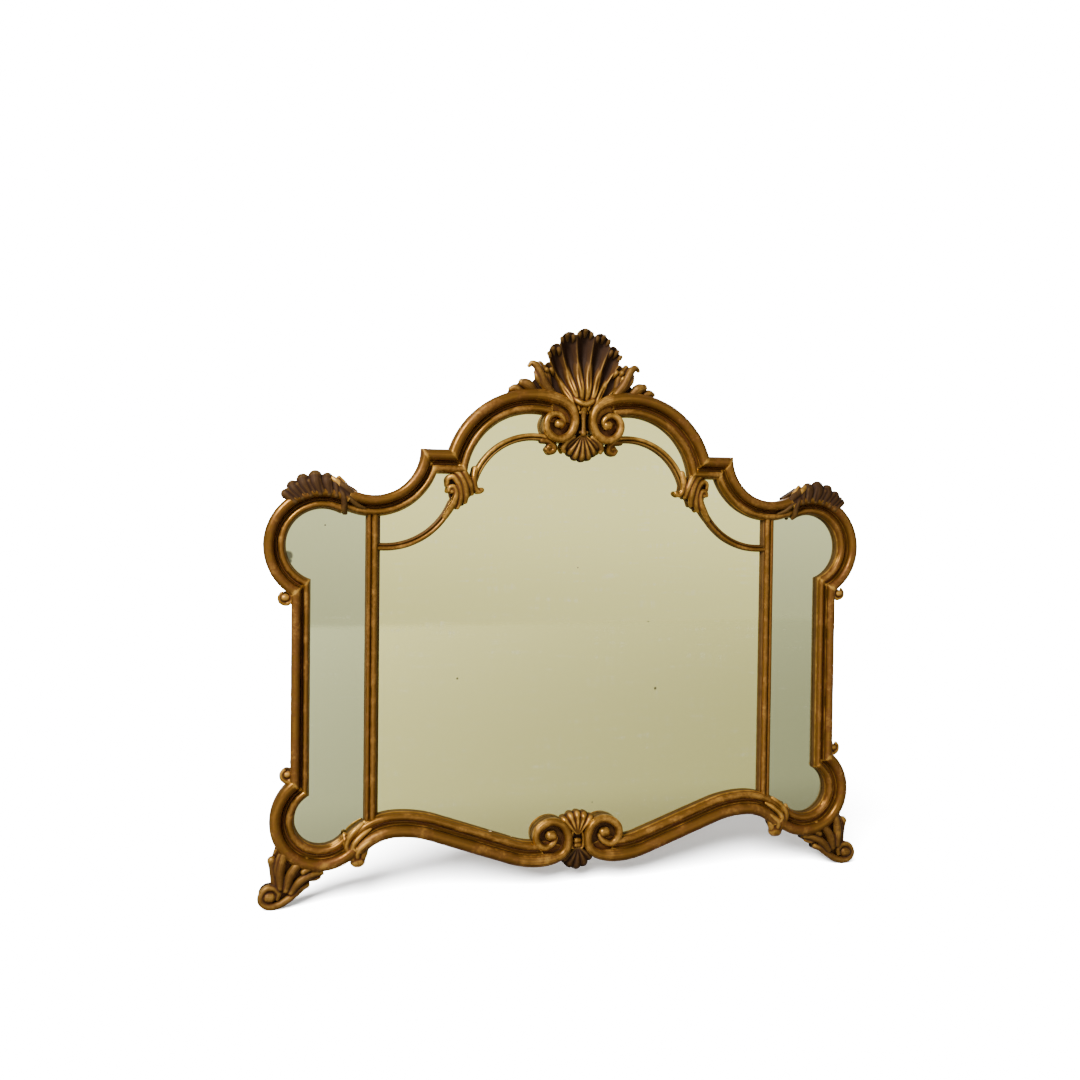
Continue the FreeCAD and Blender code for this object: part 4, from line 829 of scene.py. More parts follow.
# Lines at which the arch and the bottom rail run into their volutes
ARCH_END = ((-80, 900), (-52, 990))
RAIL_END = ((-62, 40), (-88, 110))
STEP_MITRE = ((SHOULDER[0] + SHOULDER_RADIUS, STEP_TOP),
              crossing(SHOULDER, SHOULDER_SIGHT, height=STEP_SIGHT))
ARCH_MITRE = (crossing(ARCH, ARCH_RADIUS, height=STEP_TOP, sign=-1),
              crossing(ARCH, ARCH_SIGHT, height=STEP_SIGHT, sign=-1))
UPPER_MITRE = (crossing(EAR, EAR_RADIUS, x=STILE_X, sign=-1),
               crossing(EAR, EAR_SIGHT, x=STILE_SIGHT, sign=-1))
LOWER_MITRE = (crossing(LOW_EAR, LOW_EAR_RADIUS, x=STILE_X),
               crossing(LOW_EAR, LOW_EAR_SIGHT, x=STILE_SIGHT))
EAR_LINE = (EAR, SHOULDER)
LOW_EAR_LINE = (LOW_EAR, HUMP_OUTER)
# Degrees by which a run goes past its joint before it is cut
RUN_ON = 4


def other_side(line):
    """The same cutting line, keeping its other side."""
    return (line[1], line[0])


def rail_path():
    """Sight line of the bottom rail: from the lower ear over the hump and through the trough."""
    outer, inner = HUMP_OUTER_RADIUS + RAIL_WIDTH, HUMP_INNER_RADIUS + RAIL_WIDTH
    trough = TROUGH_RADIUS - RAIL_WIDTH
    path = arc(HUMP_OUTER, outer, 180 + LOW_EAR_JOINT + RUN_ON, 90)
    path += arc(HUMP_INNER, inner, 90, 90 - SLOPE)[1:]
    path += straight(path[-1], polar(TROUGH, trough, 270 - SLOPE))[1:]
    return path + arc(TROUGH, trough, 270 - SLOPE, 318)[1:]


class MIRROR_OT_mouldings(bpy.types.Operator):
    """Frame mouldings of both halves, mitred where they meet"""
    bl_idname = "mirror.mouldings"
    bl_label = "Frame mouldings"

    def execute(self, context):
        # Node, width, sight line, and the lines at which the run is cut
        runs = (
            ("arch", ARCH_WIDTH, arc(ARCH, ARCH_SIGHT, 70, 186), (ARCH_END, ARCH_MITRE)),
            ("step", STEP_WIDTH, straight((-222, STEP_SIGHT), (-335, STEP_SIGHT)),
             (STEP_MITRE, other_side(ARCH_MITRE))),
            ("shoulder", SHOULDER_WIDTH, arc(SHOULDER, SHOULDER_SIGHT, 8, EAR_JOINT - 180 - RUN_ON),
             (other_side(STEP_MITRE), other_side(EAR_LINE))),
            ("ear", EAR_WIDTH, arc(EAR, EAR_SIGHT, EAR_JOINT - 2, 275), (UPPER_MITRE,)),
            ("stile", STILE_WIDTH, straight((STILE_SIGHT, EAR[1]), (STILE_SIGHT, LOW_EAR[1])),
             (other_side(UPPER_MITRE), LOWER_MITRE)),
            ("lower_ear", LOW_EAR_WIDTH, arc(LOW_EAR, LOW_EAR_SIGHT, 85, 360 + LOW_EAR_JOINT),
             (other_side(LOWER_MITRE),)),
            ("bottom_rail", RAIL_WIDTH, rail_path(), (LOW_EAR_LINE, RAIL_END)),
        )
        for node, width, path, cuts in runs:
            finish = "chipped_gilt" if node == "bottom_rail" else "fresh_gilt"
            mesh = swept_mesh(node, path, moulding_section(width), finish)
            trim_mesh(mesh, *cuts)
            add_pair(node + "_moulding", mesh, finish, node)
        return {"FINISHED"}


def upright_section():
    """Glazing bar from left to right: a bead, a groove, a fuller bead and a slope."""
    left = half_round(6.2, GLASS + 8.6, 4.0, 4.2)
    right = half_round(16.8, GLASS + 8.8, 5.8, 6.2)
    return ([(0, GLASS), (0.4, GLASS + 5), (1.6, GLASS + 7.6)] + left + [(10.6, GLASS + 6.6)] + right
            + [(24.4, GLASS + 7.4), (27.2, GLASS + 5), (28, GLASS)])


def reeded_section():
    """Thin arc from its inner edge outwards: a fine reed, a groove and a fuller reed."""
    fine = half_round(3.2, GLASS + 5.4, 2.6, 3.2, count=10)
    full = half_round(10.4, GLASS + 6.2, 4.2, 4.8, count=12)
    return ([(0, GLASS), (0.2, GLASS + 4)] + fine + [(6.0, GLASS + 3.8)] + full
            + [(ARC_WIDTH - 0.1, GLASS + 4), (ARC_WIDTH, GLASS)])


class MIRROR_OT_bars(bpy.types.Operator):
    """Glazing bars: the two uprights and the reeded arcs"""
    bl_idname = "mirror.bars"
    bl_label = "Glazing bars"

    def execute(self, context):
        left_edge = UPRIGHT_X - UPRIGHT_WIDTH / 2
        path = straight((left_edge, UPRIGHT_LOW), (left_edge, UPRIGHT_HIGH))
        bar = swept_mesh("upright", path, upright_section(), "fresh_gilt")
        add_pair("upright_bar", bar, "fresh_gilt", "upright")
        path = arc(UPPER_ARC, UPPER_ARC_RADIUS - ARC_WIDTH / 2, *UPPER_ARC_SPAN)
        upper = swept_mesh("upper_arc", path, reeded_section(), "fresh_gilt")
        curl = carved_mesh("upper_arc_curl", [
            finger([(-82, 889, GLASS + 4, 6), (-68, 888, GLASS + 5, 6.4), (-58, 880, GLASS + 6, 6.4),
                    (-58, 870, GLASS + 6, 6), (-67, 866, GLASS + 6, 5.2), (-73, 872, GLASS + 6.5, 4.4)]),
            ball(-67, 876, GLASS + 6, 6)], GLASS)
        add_pair("upper_arc_bar", joined_mesh("upper_arc", [upper, curl]), "fresh_gilt", "upper_arc")
        path = arc(LOWER_ARC, LOWER_ARC_RADIUS - ARC_WIDTH / 2, *LOWER_ARC_SPAN)
        lower = swept_mesh("lower_arc", path, reeded_section(), "fresh_gilt")
        add_pair("lower_arc_bar", lower, "fresh_gilt", "lower_arc")
        return {"FINISHED"}


# Carved ornaments, left half unless they stand in the middle. A finger's rows are x, height, depth and radius

# Depth by which slabs reach past the plane at which a carving is cut flat
SPARE = 2
# Step between the flat backs of carvings that overlap, so that no two backs share a plane
SET_IN = 0.4
# Rows at the start of a volute's coil that carry on the moulding's roll
ROLL_ROWS = 4


def fingers(*paths):
    """Several fingers of carving."""
    return [finger(path) for path in paths]


def round_slab(centre, radius, low, high, count=40):
    """Flat round block."""
    return slab([polar(centre, radius, 360 * step / count) for step in range(count)], low, high)


def skirt(controls):
    """Blocks that carry a finger of carving down to the glass."""
    return [round_slab((x, height), radius - 0.5, GLASS - SPARE, depth, count=24)
            for x, height, depth, radius in smooth_path(controls)]


def add_volutes(name, node, coil, web, disc, eye):
    """Scroll ends of a moulding on both halves: a coil with its eye, on a round block and a web."""
    shells = [disc, web, finger(coil), eye] + skirt(coil[ROLL_ROWS:])
    add_pair(name, carved_mesh(node, shells, GLASS), "fresh_gilt", node)


class MIRROR_OT_volutes(bpy.types.Operator):
    """Scroll ends of the arch and of the bottom rail, with the tablets between them"""
    bl_idname = "mirror.volutes"
    bl_label = "Volutes and tablets"

    def execute(self, context):
        low = GLASS - SPARE
        coil = [(-112, 977, 44, 10.4), (-88, 977.3, 45, 12.1), (-64, 973.8, 45.6, 12), (-42, 966.5, 46, 10.6),
                (-26, 954, 47, 9.2), (-19.5, 938, 47.5, 8.6), (-20, 920, 48, 8.4), (-28, 903, 48, 8.2),
                (-44, 893, 48, 8), (-61, 894.5, 48, 7.8), (-74, 906, 48, 7.6), (-78, 922, 48, 7.4),
                (-72, 936, 47.6, 6.8), (-59, 941.5, 47, 6.2), (-47, 937, 46.5, 5.8), (-42, 927, 46, 5.6),
                (-47, 918, 46, 5.6)]
        web = slab([(-78, 925), (-74, 962), (-45, 966), (-24, 945), (-24, 925)], low, GLASS + 11)
        disc = round_slab(CREST_VOLUTE, 33, low, GLASS + 9)
        add_volutes("crest_scroll", "crest_volute", coil, web, disc, ball(*CREST_VOLUTE, 45.5, 9))

        coil = [(-142, 64, 44, 10.6), (-118, 57.9, 44.6, 11.9), (-92, 54.8, 45.2, 12.4),
                (-68, 55.2, 45.6, 12.2), (-46, 58, 45.3, 10), (-29, 67.5, 45.5, 9.2), (-21, 84, 45, 8.8),
                (-22, 104, 44.5, 8.6), (-32, 121, 44, 8.4), (-50, 129.5, 43, 8.2), (-69, 126.5, 43, 8.2),
                (-84, 114, 43, 8.1), (-87, 97, 43, 7.6), (-79, 83, 43, 6.8), (-66, 79, 42.5, 6.2),
                (-53, 86, 42, 5.8), (-47, 97, 41.5, 5.6)]
        web = slab([(-84, 62), (-84, 92), (-60, 90), (-24, 76), (-46, 58)], low, GLASS + 10)
        disc = round_slab(RAIL_VOLUTE, 36, low, GLASS + 8)
        add_volutes("rail_scroll", "rail_volute", coil, web, disc, ball(-56, 102, 41, 10.5))

        recess = slab([(-13, 902), (13, 902), (13, 950), (-13, 950)], low, GLASS + 5)
        spool = fingers(
            [(0, 905, 43, 6.6), (0, 915, 43, 5), (0, 926, 43, 4.4), (0, 937, 43, 5), (0, 947, 43, 6.6)],
            [(-7, 946, 43, 3.4), (7, 946, 43, 3.4)],
            [(-7, 907, 43, 3.4), (7, 907, 43, 3.4)])
        tablet = carved_mesh("crest_tablet", [recess] + spool, GLASS - SET_IN)
        add_piece("crest_spool", tablet, "aged_gilt", "crest_tablet")

        recess = slab([(-14, 66), (14, 66), (14, 113), (-14, 113)], low, GLASS + 4)
        rim = [(-11, 74), (-13, 90), (-9, 106), (0, 111), (9, 106), (13, 90), (11, 74), (0, 68), (-11, 74)]
        edge = finger([(x, height, 38, 2.8) for x, height in rim])
        boss = [finger([(x, height, 37, 5.6) for x in (-3, 3)]) for height in (79, 87)]
        tablet = carved_mesh("rail_tablet", [recess, edge] + boss, GLASS - SET_IN)
        add_piece("rail_spool", tablet, "fresh_gilt", "rail_tablet")
        return {"FINISHED"}


def fluted_blade(foot, middle, half_turn, rim, front, back, start, columns, rows):
    """Fan-shaped blade about a foot; rim, front and back give its reach and depths by share and turn."""
    points, faces = [], []
    for behind in (False, True):
        for column in range(columns + 1):
            turn = half_turn * (2 * column / columns - 1)
            for row in range(rows + 1):
                share = start + (1 - start) * row / rows
                depth = front(share, turn)
                if behind:
                    depth = back(share, depth)
                points.append((*polar(foot, rim(turn) * share, middle - turn), depth))
    row_step = rows + 1
    layer = (columns + 1) * row_step
    for column in range(columns):
        for row in range(rows):
            corner = column * row_step + row
            quad = (corner, corner + row_step, corner + row_step + 1, corner + 1)
            faces.append(quad)
            faces.append(tuple(layer + index for index in reversed(quad)))
    ring = [column * row_step for column in range(columns + 1)]
    ring += [columns * row_step + row for row in range(1, rows + 1)]
    ring += [column * row_step + rows for column in range(columns - 1, -1, -1)]
    ring += [row for row in range(rows - 1, 0, -1)]
    for begin, end in zip(ring, ring[1:] + ring[:1]):
        faces.append((begin, layer + begin, layer + end, end))
    return np.array(points), faces


def small_fan(foot, middle, reach, half_width, half_turn, lobes):
    """Small closed shell: rounded lobes between grooves that spread from a foot, its rim softly scalloped."""
    lobe_angle = 2 * half_turn / lobes

    def rim(turn):
        lean = math.radians(turn)
        oval = 1 / math.hypot(math.cos(lean) / reach, math.sin(lean) / half_width)
        return oval * (0.955 + 0.045 * abs(math.cos(math.pi * turn / lobe_angle)) ** 0.6)

    def front(share, turn):
        crown = abs(math.cos(math.pi * turn / lobe_angle)) ** 0.7
        body = 9 + 9 * math.sin(math.pi * (0.2 + 0.6 * share))
        groove = 6 * min(1, 1.6 * share) * (1 - crown)
        return GLASS + body - groove - 8 * max(0, (share - 0.78) / 0.22) ** 2

    def back(share, depth):
        return GLASS - SPARE

    return fluted_blade(foot, middle, half_turn, rim, front, back, 0.06, 14 * lobes, 40)


# Crest shell: the point its flutes spread from, the degrees of one flute, their number and their length
SHELL_FOOT = (0, 925)
FLUTE_ANGLE = 12.5
SHELL_FLUTES = 7
SHELL_REACH = 188


def shell_rim(turn):
    """Distance from the shell's foot to its scalloped rim, by the turn from upright in degrees."""
    lobe = abs(math.cos(math.pi * turn / FLUTE_ANGLE)) ** 0.7
    return SHELL_REACH - 0.038 * turn ** 2 - 14 * (1 - lobe)


def shell_front(share, turn):
    """Depth of the shell's face at a share of the way to its rim: hollow flutes between ridges."""
    flute_middle = abs(math.cos(math.pi * turn / FLUTE_ANGLE))
    breadth = 1.4 + 9 * max(0, (0.68 - share) / 0.4)
    swell = math.exp(-((share - 0.36) / 0.14) ** 2)
    curl = max(0, (share - 0.72) / 0.28) ** 1.6
    opening = min(1, max(0, (share - 0.3) / 0.4))
    hollow = (4 + 10 * opening) * (1 - curl) + 3 * curl
    ridge = 45 + 10 * swell + 8 * curl
    return ridge - hollow * flute_middle ** breadth - 6 * (turn / 44) ** 2


def shell_back(share, depth):
    """Depth of the shell behind its face: flat below, hollow behind the curled rim."""
    return max(BACK - 1, min(depth - 9, BACK - 1 + 24 * max(0, (share - 0.7) / 0.3) ** 1.5))


def shell_curls():
    """Three small ruffles on the tip of each of the shell's flutes."""
    shells = []
    for index in range(SHELL_FLUTES):
        turn = FLUTE_ANGLE * (index - (SHELL_FLUTES - 1) / 2)
        front = 51 - 6 * (turn / 38) ** 2
        for side in (-1, 0, 1):
            lean = 90 - turn - side * 0.33 * FLUTE_ANGLE
            reach = shell_rim(turn) - 1 - 5 * abs(side)
            root, neck, tip = [polar(SHELL_FOOT, reach - back, lean) for back in (15, 8, 4.2)]
            lift = 3 * (side == 0)
            shells.append(finger([(*root, front - 8, 3), (*neck, front - 1, 4.2), (*tip, front + lift, 4.4)]))
    return shells


class MIRROR_OT_shells(bpy.types.Operator):
    """Crest shell, and the small fans above and below the volutes"""
    bl_idname = "mirror.shells"
    bl_label = "Shells and fans"

    def execute(self, context):
        tie = fingers(
            [(-20, 972, 46, 6), (-9, 965, 53, 5.6), (0, 962, 55, 5.6), (9, 965, 53, 5.6), (20, 972, 46, 6)],
            [(0, 948, 44, 6), (0, 956, 50, 5)])
        web = slab([(-34, 950), (34, 950), (34, 984), (-34, 984)], BACK - SPARE, GLASS + 8)
        half_turn = FLUTE_ANGLE * SHELL_FLUTES / 2
        blade = fluted_blade(SHELL_FOOT, 90, half_turn, shell_rim, shell_front, shell_back, 0.16,
                             18 * SHELL_FLUTES, 60)
        shell = carved_mesh("crest_shell", [blade, web] + shell_curls() + tie, BACK, smoothing=2)
        add_piece("crest_shell_carving", shell, "shell_gilt", "crest_shell")
        sides = [finger([(side * 20, 897, 42, 5), (side * 33, 888, 42, 6), (side * 40, 876, 40, 5.4),
                         (side * 38, 868, 39, 4)]) for side in (-1, 1)]
        fan = small_fan((0, 905), -90, 57, 46, 60, 7)
        pendant = carved_mesh("crest_pendant", [fan] + sides, GLASS - 2 * SET_IN)
        add_piece("crest_pendant_shell", pendant, "aged_gilt", "crest_pendant")
        fan = small_fan((0, 98), 90, 50, 52, 50, 5)
        shell = carved_mesh("rail_shell", [fan], GLASS - 2 * SET_IN)
        add_piece("rail_fan", shell, "fresh_gilt", "rail_shell")
        web = slab([(-36, 52), (36, 52), (28, 84), (-28, 84)], GLASS - SPARE, GLASS + 5)
        fan = small_fan((0, 76), -90, 48, 40, 62, 5)
        leaf = carved_mesh("rail_pendant", [web, fan], GLASS - 3 * SET_IN)
        add_piece("rail_pendant_leaf", leaf, "brown_gilt", "rail_pendant")
        return {"FINISHED"}


def rocaille_ribs():
    """Fan of ribs on top of the upper ear, with finer ones between them and the block that carries them."""
    ribs = ((126, 127, 10), (117.5, 135, 11.5), (107.5, 140, 12.5), (97, 142, 13.5), (87, 137, 12),
            (79, 128, 9))
    shells = []
    for angle, reach, radius in ribs:
        near = polar(EAR, 97, angle - 3)
        half = polar(EAR, 117, angle)
        tip = polar(EAR, reach - radius, angle)
        shells.append(finger([(*near, 51, 6), (*half, 47, radius * 0.85), (*tip, 41, radius)]))
    for angle in (121, 112, 102, 93, 84):
        near, tip = polar(EAR, 101, angle - 2), polar(EAR, 122, angle + 1.5)
        shells.append(finger([(*near, 53.5, 3.6), (*tip, 51, 5)]))
    shells.append(slab(arc(EAR, 98, 79, 127, 8) + arc(EAR, 126, 127, 79, 8), BACK - SPARE, BACK + 17))
    return shells


def rocaille_tail():
    """Tail of the rocaille, which runs down over the joint of ear and shoulder to the sight edge."""
    block = slab([(-490, 776), (-480, 806), (-444, 784), (-448, 764)], BACK - SPARE, BACK + 17)
    return fingers(
        [(-488, 800, 44, 8), (-471, 790, 49, 8), (-455, 777, 49, 6.6), (-439, 769, 47, 4.8),
         (-424, 765, 44, 3)],
        [(-484, 792, 46, 6), (-473, 775, 51, 6.6), (-470, 760, 49, 6.4), (-470, 748, 45, 6),
         (-467, 741, 40, 4)],
        [(-476, 786, 48, 6), (-461, 770, 51, 5.4), (-447, 757, 48, 4.4), (-432, 750, 44, 3)]) + [block]


class MIRROR_OT_leaves(bpy.types.Operator):
    """Leaves beside the crest shell, corner rocaille and the acanthus under the steps"""
    bl_idname = "mirror.leaves"
    bl_label = "Leaves and rocaille"

    def execute(self, context):
        block = slab([(-40, 962), (-160, 962), (-150, 988), (-128, 1004), (-106, 1000), (-84, 1028),
                      (-50, 1020)], BACK - SPARE, BACK + 11)
        curls = fingers(
            [(-70, 985, 42, 9), (-84, 1003, 45, 10), (-92, 1020, 47, 9), (-99, 1034, 47, 8),
             (-108, 1039, 46, 6), (-114, 1034, 45, 4.2)],
            [(-72, 1000, 36, 8), (-78, 1024, 38, 8), (-90, 1040, 38, 6)],
            [(-88, 1000, 46, 6), (-97, 1011, 48, 6.5), (-101, 1022, 47, 4.5)],
            [(-102, 984, 38, 9), (-115, 997, 42, 11), (-127, 1001, 42, 8)],
            [(-126, 982, 36, 8), (-139, 990, 39, 8), (-149, 988, 38, 5)])
        leaf = carved_mesh("crest_leaf", [block] + curls, BACK + SET_IN)
        add_pair("crest_side_leaf", leaf, "aged_gilt", "crest_leaf")

        corner = carved_mesh("corner_rocaille", rocaille_ribs() + rocaille_tail(), BACK)
        add_pair("corner_rocaille_carving", corner, "brown_gilt", "corner_rocaille")
        leaf = carved_mesh("corner_leaf", fingers(
            [(-494, 806, 44, 6), (-484, 799, 48, 6.6), (-474, 788, 49, 5.6), (-466, 777, 46, 3.6)],
            [(-480, 807, 42, 4.6), (-470, 796, 46, 5), (-461, 784, 45, 3.4)]), BACK)
        add_pair("corner_leaf", leaf, "fresh_gilt")

        block = slab([(-270, 818), (-232, 824), (-214, 800), (-212, 786), (-226, 776), (-240, 758),
                      (-256, 754), (-268, 776)], GLASS - SPARE, GLASS + 5)
        scroll = finger([(-276, 736, 34, 6), (-267, 751, 37, 7), (-259, 766, 38.5, 7.4), (-255, 781, 39, 6.8),
                         (-259, 792, 39, 5.8), (-267, 793, 39, 5), (-270, 786, 39, 4.4)])
        blades = fingers(
            [(-272, 797, 34, 4), (-271, 809, 36, 5), (-262, 813, 38, 6), (-252, 804, 39, 6.4),
             (-247, 788, 39, 6.6), (-247, 770, 38, 6.4), (-252, 755, 35, 5)],
            [(-262, 828, 36, 6), (-249, 818, 39, 6.6), (-240, 802, 41, 7), (-236, 784, 40, 7),
             (-237, 766, 35, 5.4)],
            [(-248, 834, 38, 6.4), (-236, 816, 40, 6.6), (-228, 798, 40, 6.6), (-224, 782, 36, 5)],
            [(-217, 830, 34, 6), (-220, 811, 37, 6.4), (-218, 795, 37, 6), (-211, 786, 36.5, 5.4),
             (-204, 788, 36, 4.6)])
        knobs = [ball(-263, 785, 39, 5.4), ball(-205, 789, 36, 5)]
        leaf = carved_mesh("acanthus", [block, scroll] + blades + knobs, GLASS)
        add_pair("acanthus_leaf", leaf, "fresh_gilt", "acanthus")
        return {"FINISHED"}


class MIRROR_OT_scrolls(bpy.types.Operator):
    """Scroll feet with their leaves, scroll knobs on the stiles and curl drops under the rail"""
    bl_idname = "mirror.scrolls"
    bl_label = "Feet, knobs and drops"

    def execute(self, context):
        low = BACK - SPARE
        block = slab([(-606, 24), (-596, 50), (-600, 88), (-592, 112), (-560, 110), (-520, 86), (-502, 70),
                      (-502, 57), (-527, 47), (-530, 34), (-560, 22), (-590, 6)], low, BACK + 15)
        disc = round_slab((-602, 25.5), 20, low, BACK + 14)
        scroll = finger([(-543, 36, 43, 6), (-562, 22, 45, 7), (-583, 10, 46, 7), (-602, 7.6, 47, 7),
                         (-615.5, 15, 47, 7), (-617.5, 28, 47, 6.8), (-609, 40, 47, 6.4), (-595, 41, 47, 6),
                         (-586, 32, 47, 5.4), (-588, 22, 46, 4.8)])
        eye = ball(-603, 25, 45, 11)
        blades = fingers(
            [(-592, 45, 42, 8), (-594, 64, 42, 8), (-596, 80, 42, 8), (-598, 92, 42, 9)],
            [(-583, 42, 46, 8), (-583, 74, 48, 9), (-577, 100, 48, 8), (-569, 113, 46, 5)],
            [(-572, 38, 46, 8), (-565, 62, 48, 9), (-551, 81, 47, 8), (-535, 90, 45, 5)],
            [(-562, 32, 46, 7.5), (-547, 50, 47, 8), (-527, 60, 45, 7.5), (-508, 63, 42, 5)],
            [(-560, 26, 44, 6), (-545, 36, 44, 6.5), (-533, 41, 42, 5)],
            [(-540, 68, 48, 6), (-525, 76, 47, 6), (-511, 77, 43, 4.4)],
            [(-532, 54, 44, 5), (-520, 52, 42, 5), (-511, 54, 40, 4)],
            [(-588, 58, 46, 5), (-590, 78, 48, 5.4), (-585, 98, 47, 5), (-577, 110, 44, 3.6)])
        foot = carved_mesh("scroll_foot", [block, disc, scroll, eye] + blades, BACK)
        add_pair("scroll_foot_carving", foot, "aged_gilt", "scroll_foot")

        upper, lower = (-577, 583), (-571, 252)
        discs = [round_slab(centre, 10, low, BACK + 9) for centre in (upper, lower)]
        curls = fingers(
            [(-571, 607, 44, 6.4), (-565, 592, 44, 6), (-565, 579, 43, 5), (-574, 570.5, 43, 4.4),
             (-585, 574, 43, 4), (-588, 583, 43, 3.6), (-584, 591, 43, 3.2)],
            [(-561, 276, 44, 6.2), (-559, 259, 44, 6), (-562, 244, 43, 5.6), (-570, 238.5, 43, 5.2),
             (-579, 243, 43, 4.8), (-582, 252, 43, 4.4), (-578, 260, 43, 4)])
        eyes = [ball(-577, 582, 43, 7.8), ball(-571, 251.5, 42, 7.2)]
        knobs = carved_mesh("scroll_knobs", discs + curls + eyes, BACK)
        add_pair("stile_curls", knobs, "fresh_gilt", "scroll_knobs")

        block = slab([(-460, 118), (-428, 118), (-424, 96), (-438, 72), (-455, 90)], low, BACK + 12)
        blades = fingers(
            [(-456, 106, 44, 6), (-451, 93, 43, 7.4), (-445, 82, 41, 9)],
            [(-424, 106, 44, 6), (-427, 94, 43, 7), (-433, 83, 40, 9)],
            [(-464, 130, 37, 5), (-463, 118, 44, 6), (-457, 102, 46, 6.4), (-448, 90, 43, 6)],
            [(-452, 92, 43, 7), (-460, 108, 46, 6.4), (-457, 124, 47, 6), (-446, 138, 47, 5),
             (-430, 150, 43, 3.6)],
            [(-447, 86, 44, 7), (-451, 102, 48, 6.2), (-445, 117, 49, 5.6), (-431, 130, 47, 4.8),
             (-415, 140, 43, 3)],
            [(-441, 86, 44, 7), (-440, 99, 50, 6), (-430, 110, 52, 5), (-415, 121, 52, 3.4)])
        drop = carved_mesh("curl_drop", [ball(-439, 79, 39, 12.5), block] + blades, BACK)
        add_pair("rail_curl", drop, "fresh_gilt", "curl_drop")
        return {"FINISHED"}


def finish_node(node, material):
    """Material on a CAD node that keeps its shape."""
    for place in node.material_slots:
        place.material = bpy.data.materials[material]


class MIRROR_OT_plates(bpy.types.Operator):
    """Old silvered finish on the seven mirror plates"""
    bl_idname = "mirror.plates"
    bl_label = "Mirror plates"

    def execute(self, context):
        for name, node in NODES.items():
            if name.startswith("mirror_"):
                finish_node(node, "silvered_plate")
        return {"FINISHED"}


class MIRROR_OT_back(bpy.types.Operator):
    """Finishes of the back board, battens, nails, screws and hanging hardware, on their CAD shapes"""
    bl_idname = "mirror.back"
    bl_label = "Back and hardware"

    def execute(self, context):
        for name, material in (("back_board", "board_wood"), ("upper_batten", "batten_wood"),
                               ("lower_batten", "batten_wood"), ("board_nails", "old_iron"),
                               ("batten_screws", "old_iron"), ("strap_screws", "old_brass"),
                               ("hanger_strap_left", "old_brass"), ("hanger_strap_right", "old_brass"),
                               ("hanger_ring_left", "old_brass"), ("hanger_ring_right", "old_brass")):
            finish_node(NODES[name], material)
        return {"FINISHED"}


class MIRROR_OT_finishes(bpy.types.Operator):
    """Materials of the gilding, woods, metals and mirror plates"""
    bl_idname = "mirror.finishes"
    bl_label = "Finishes"

    def execute(self, context):
        make_materials()
        return {"FINISHED"}


# Stage: places, sizes and distance in metres, the back fill's share of the key light, the camera's white
KEY_PLACE, KEY_SIZE = (-2.1, -1.9, 2.0), 0.9
BACK_FILL_PLACE, BACK_FILL_SIZE = (1.6, 2.6, 1.5), 2.0
BACK_FILL_SHARE = 0.35
ROOM_DISTANCE = 5.2
WHITE_SKY = 30.0


class MIRROR_OT_stage(bpy.types.Operator):
    """Pale sweep of floor and backdrop, soft light from the left, even sky and the camera"""
    bl_idname = "mirror.stage"
    bl_label = "Stage"

    def execute(self, context):
        settings = context.scene.mirror_stage
        sweep = bpy.data.objects.new("floor_sweep", sweep_mesh())
        context.scene.collection.objects.link(sweep)
        sweep.data.materials.append(floor_material(settings.floor))
        add_floor_light(sweep, settings.floor_light)
        add_room_wall(settings.room)
        add_soft_light("key", settings.key_power, KEY_SIZE, KEY_PLACE)
        back_power = BACK_FILL_SHARE * settings.key_power
        add_soft_light("back_fill", back_power, BACK_FILL_SIZE, BACK_FILL_PLACE)
        context.scene.world = even_sky(settings.sky)
        add_camera(context.scene)
        return {"FINISHED"}


def add_soft_light(name, power, size, place):
    """Large square light that faces the mirror."""
    light = bpy.data.lights.new(name, "AREA")
    light.energy = power
    light.size = size
    light.color = (1, 0.97, 0.92)
    lamp = bpy.data.objects.new(name, light)
    lamp.location = place
    lamp.rotation_euler = (-lamp.location).to_track_quat("-Z", "Y").to_euler()
    bpy.context.scene.collection.objects.link(lamp)


def even_sky(strength):
    """Even light from all round, white where the camera looks past the floor."""
    world = bpy.data.worlds.new("even_sky")
    world.use_nodes = True
    tree = world.node_tree
    direct = tree.nodes.new("ShaderNodeLightPath").outputs["Is Camera Ray"]
    feed(tree, tree.nodes["Background"].inputs, {
        "Color": (1, 1, 0.985, 1), "Strength": calc(tree, "ADD", times(tree, direct, WHITE_SKY), strength)})
    return world


def add_floor_light(sweep, strength):
    """Light on the floor and backdrop alone, so that they stay white round the darker mirror."""
    sun = bpy.data.lights.new("floor_light", "SUN")
    sun.energy = strength
    sun.angle = 0.7
    lamp = bpy.data.objects.new("floor_light", sun)
    lamp.rotation_euler = Vector((0.42, 0.62, -0.66)).to_track_quat("-Z", "Y").to_euler()
    bpy.context.scene.collection.objects.link(lamp)
    lit = bpy.data.collections.new("lit_floor")
    lit.objects.link(sweep)
    lamp.light_linking.receiver_collection = lit


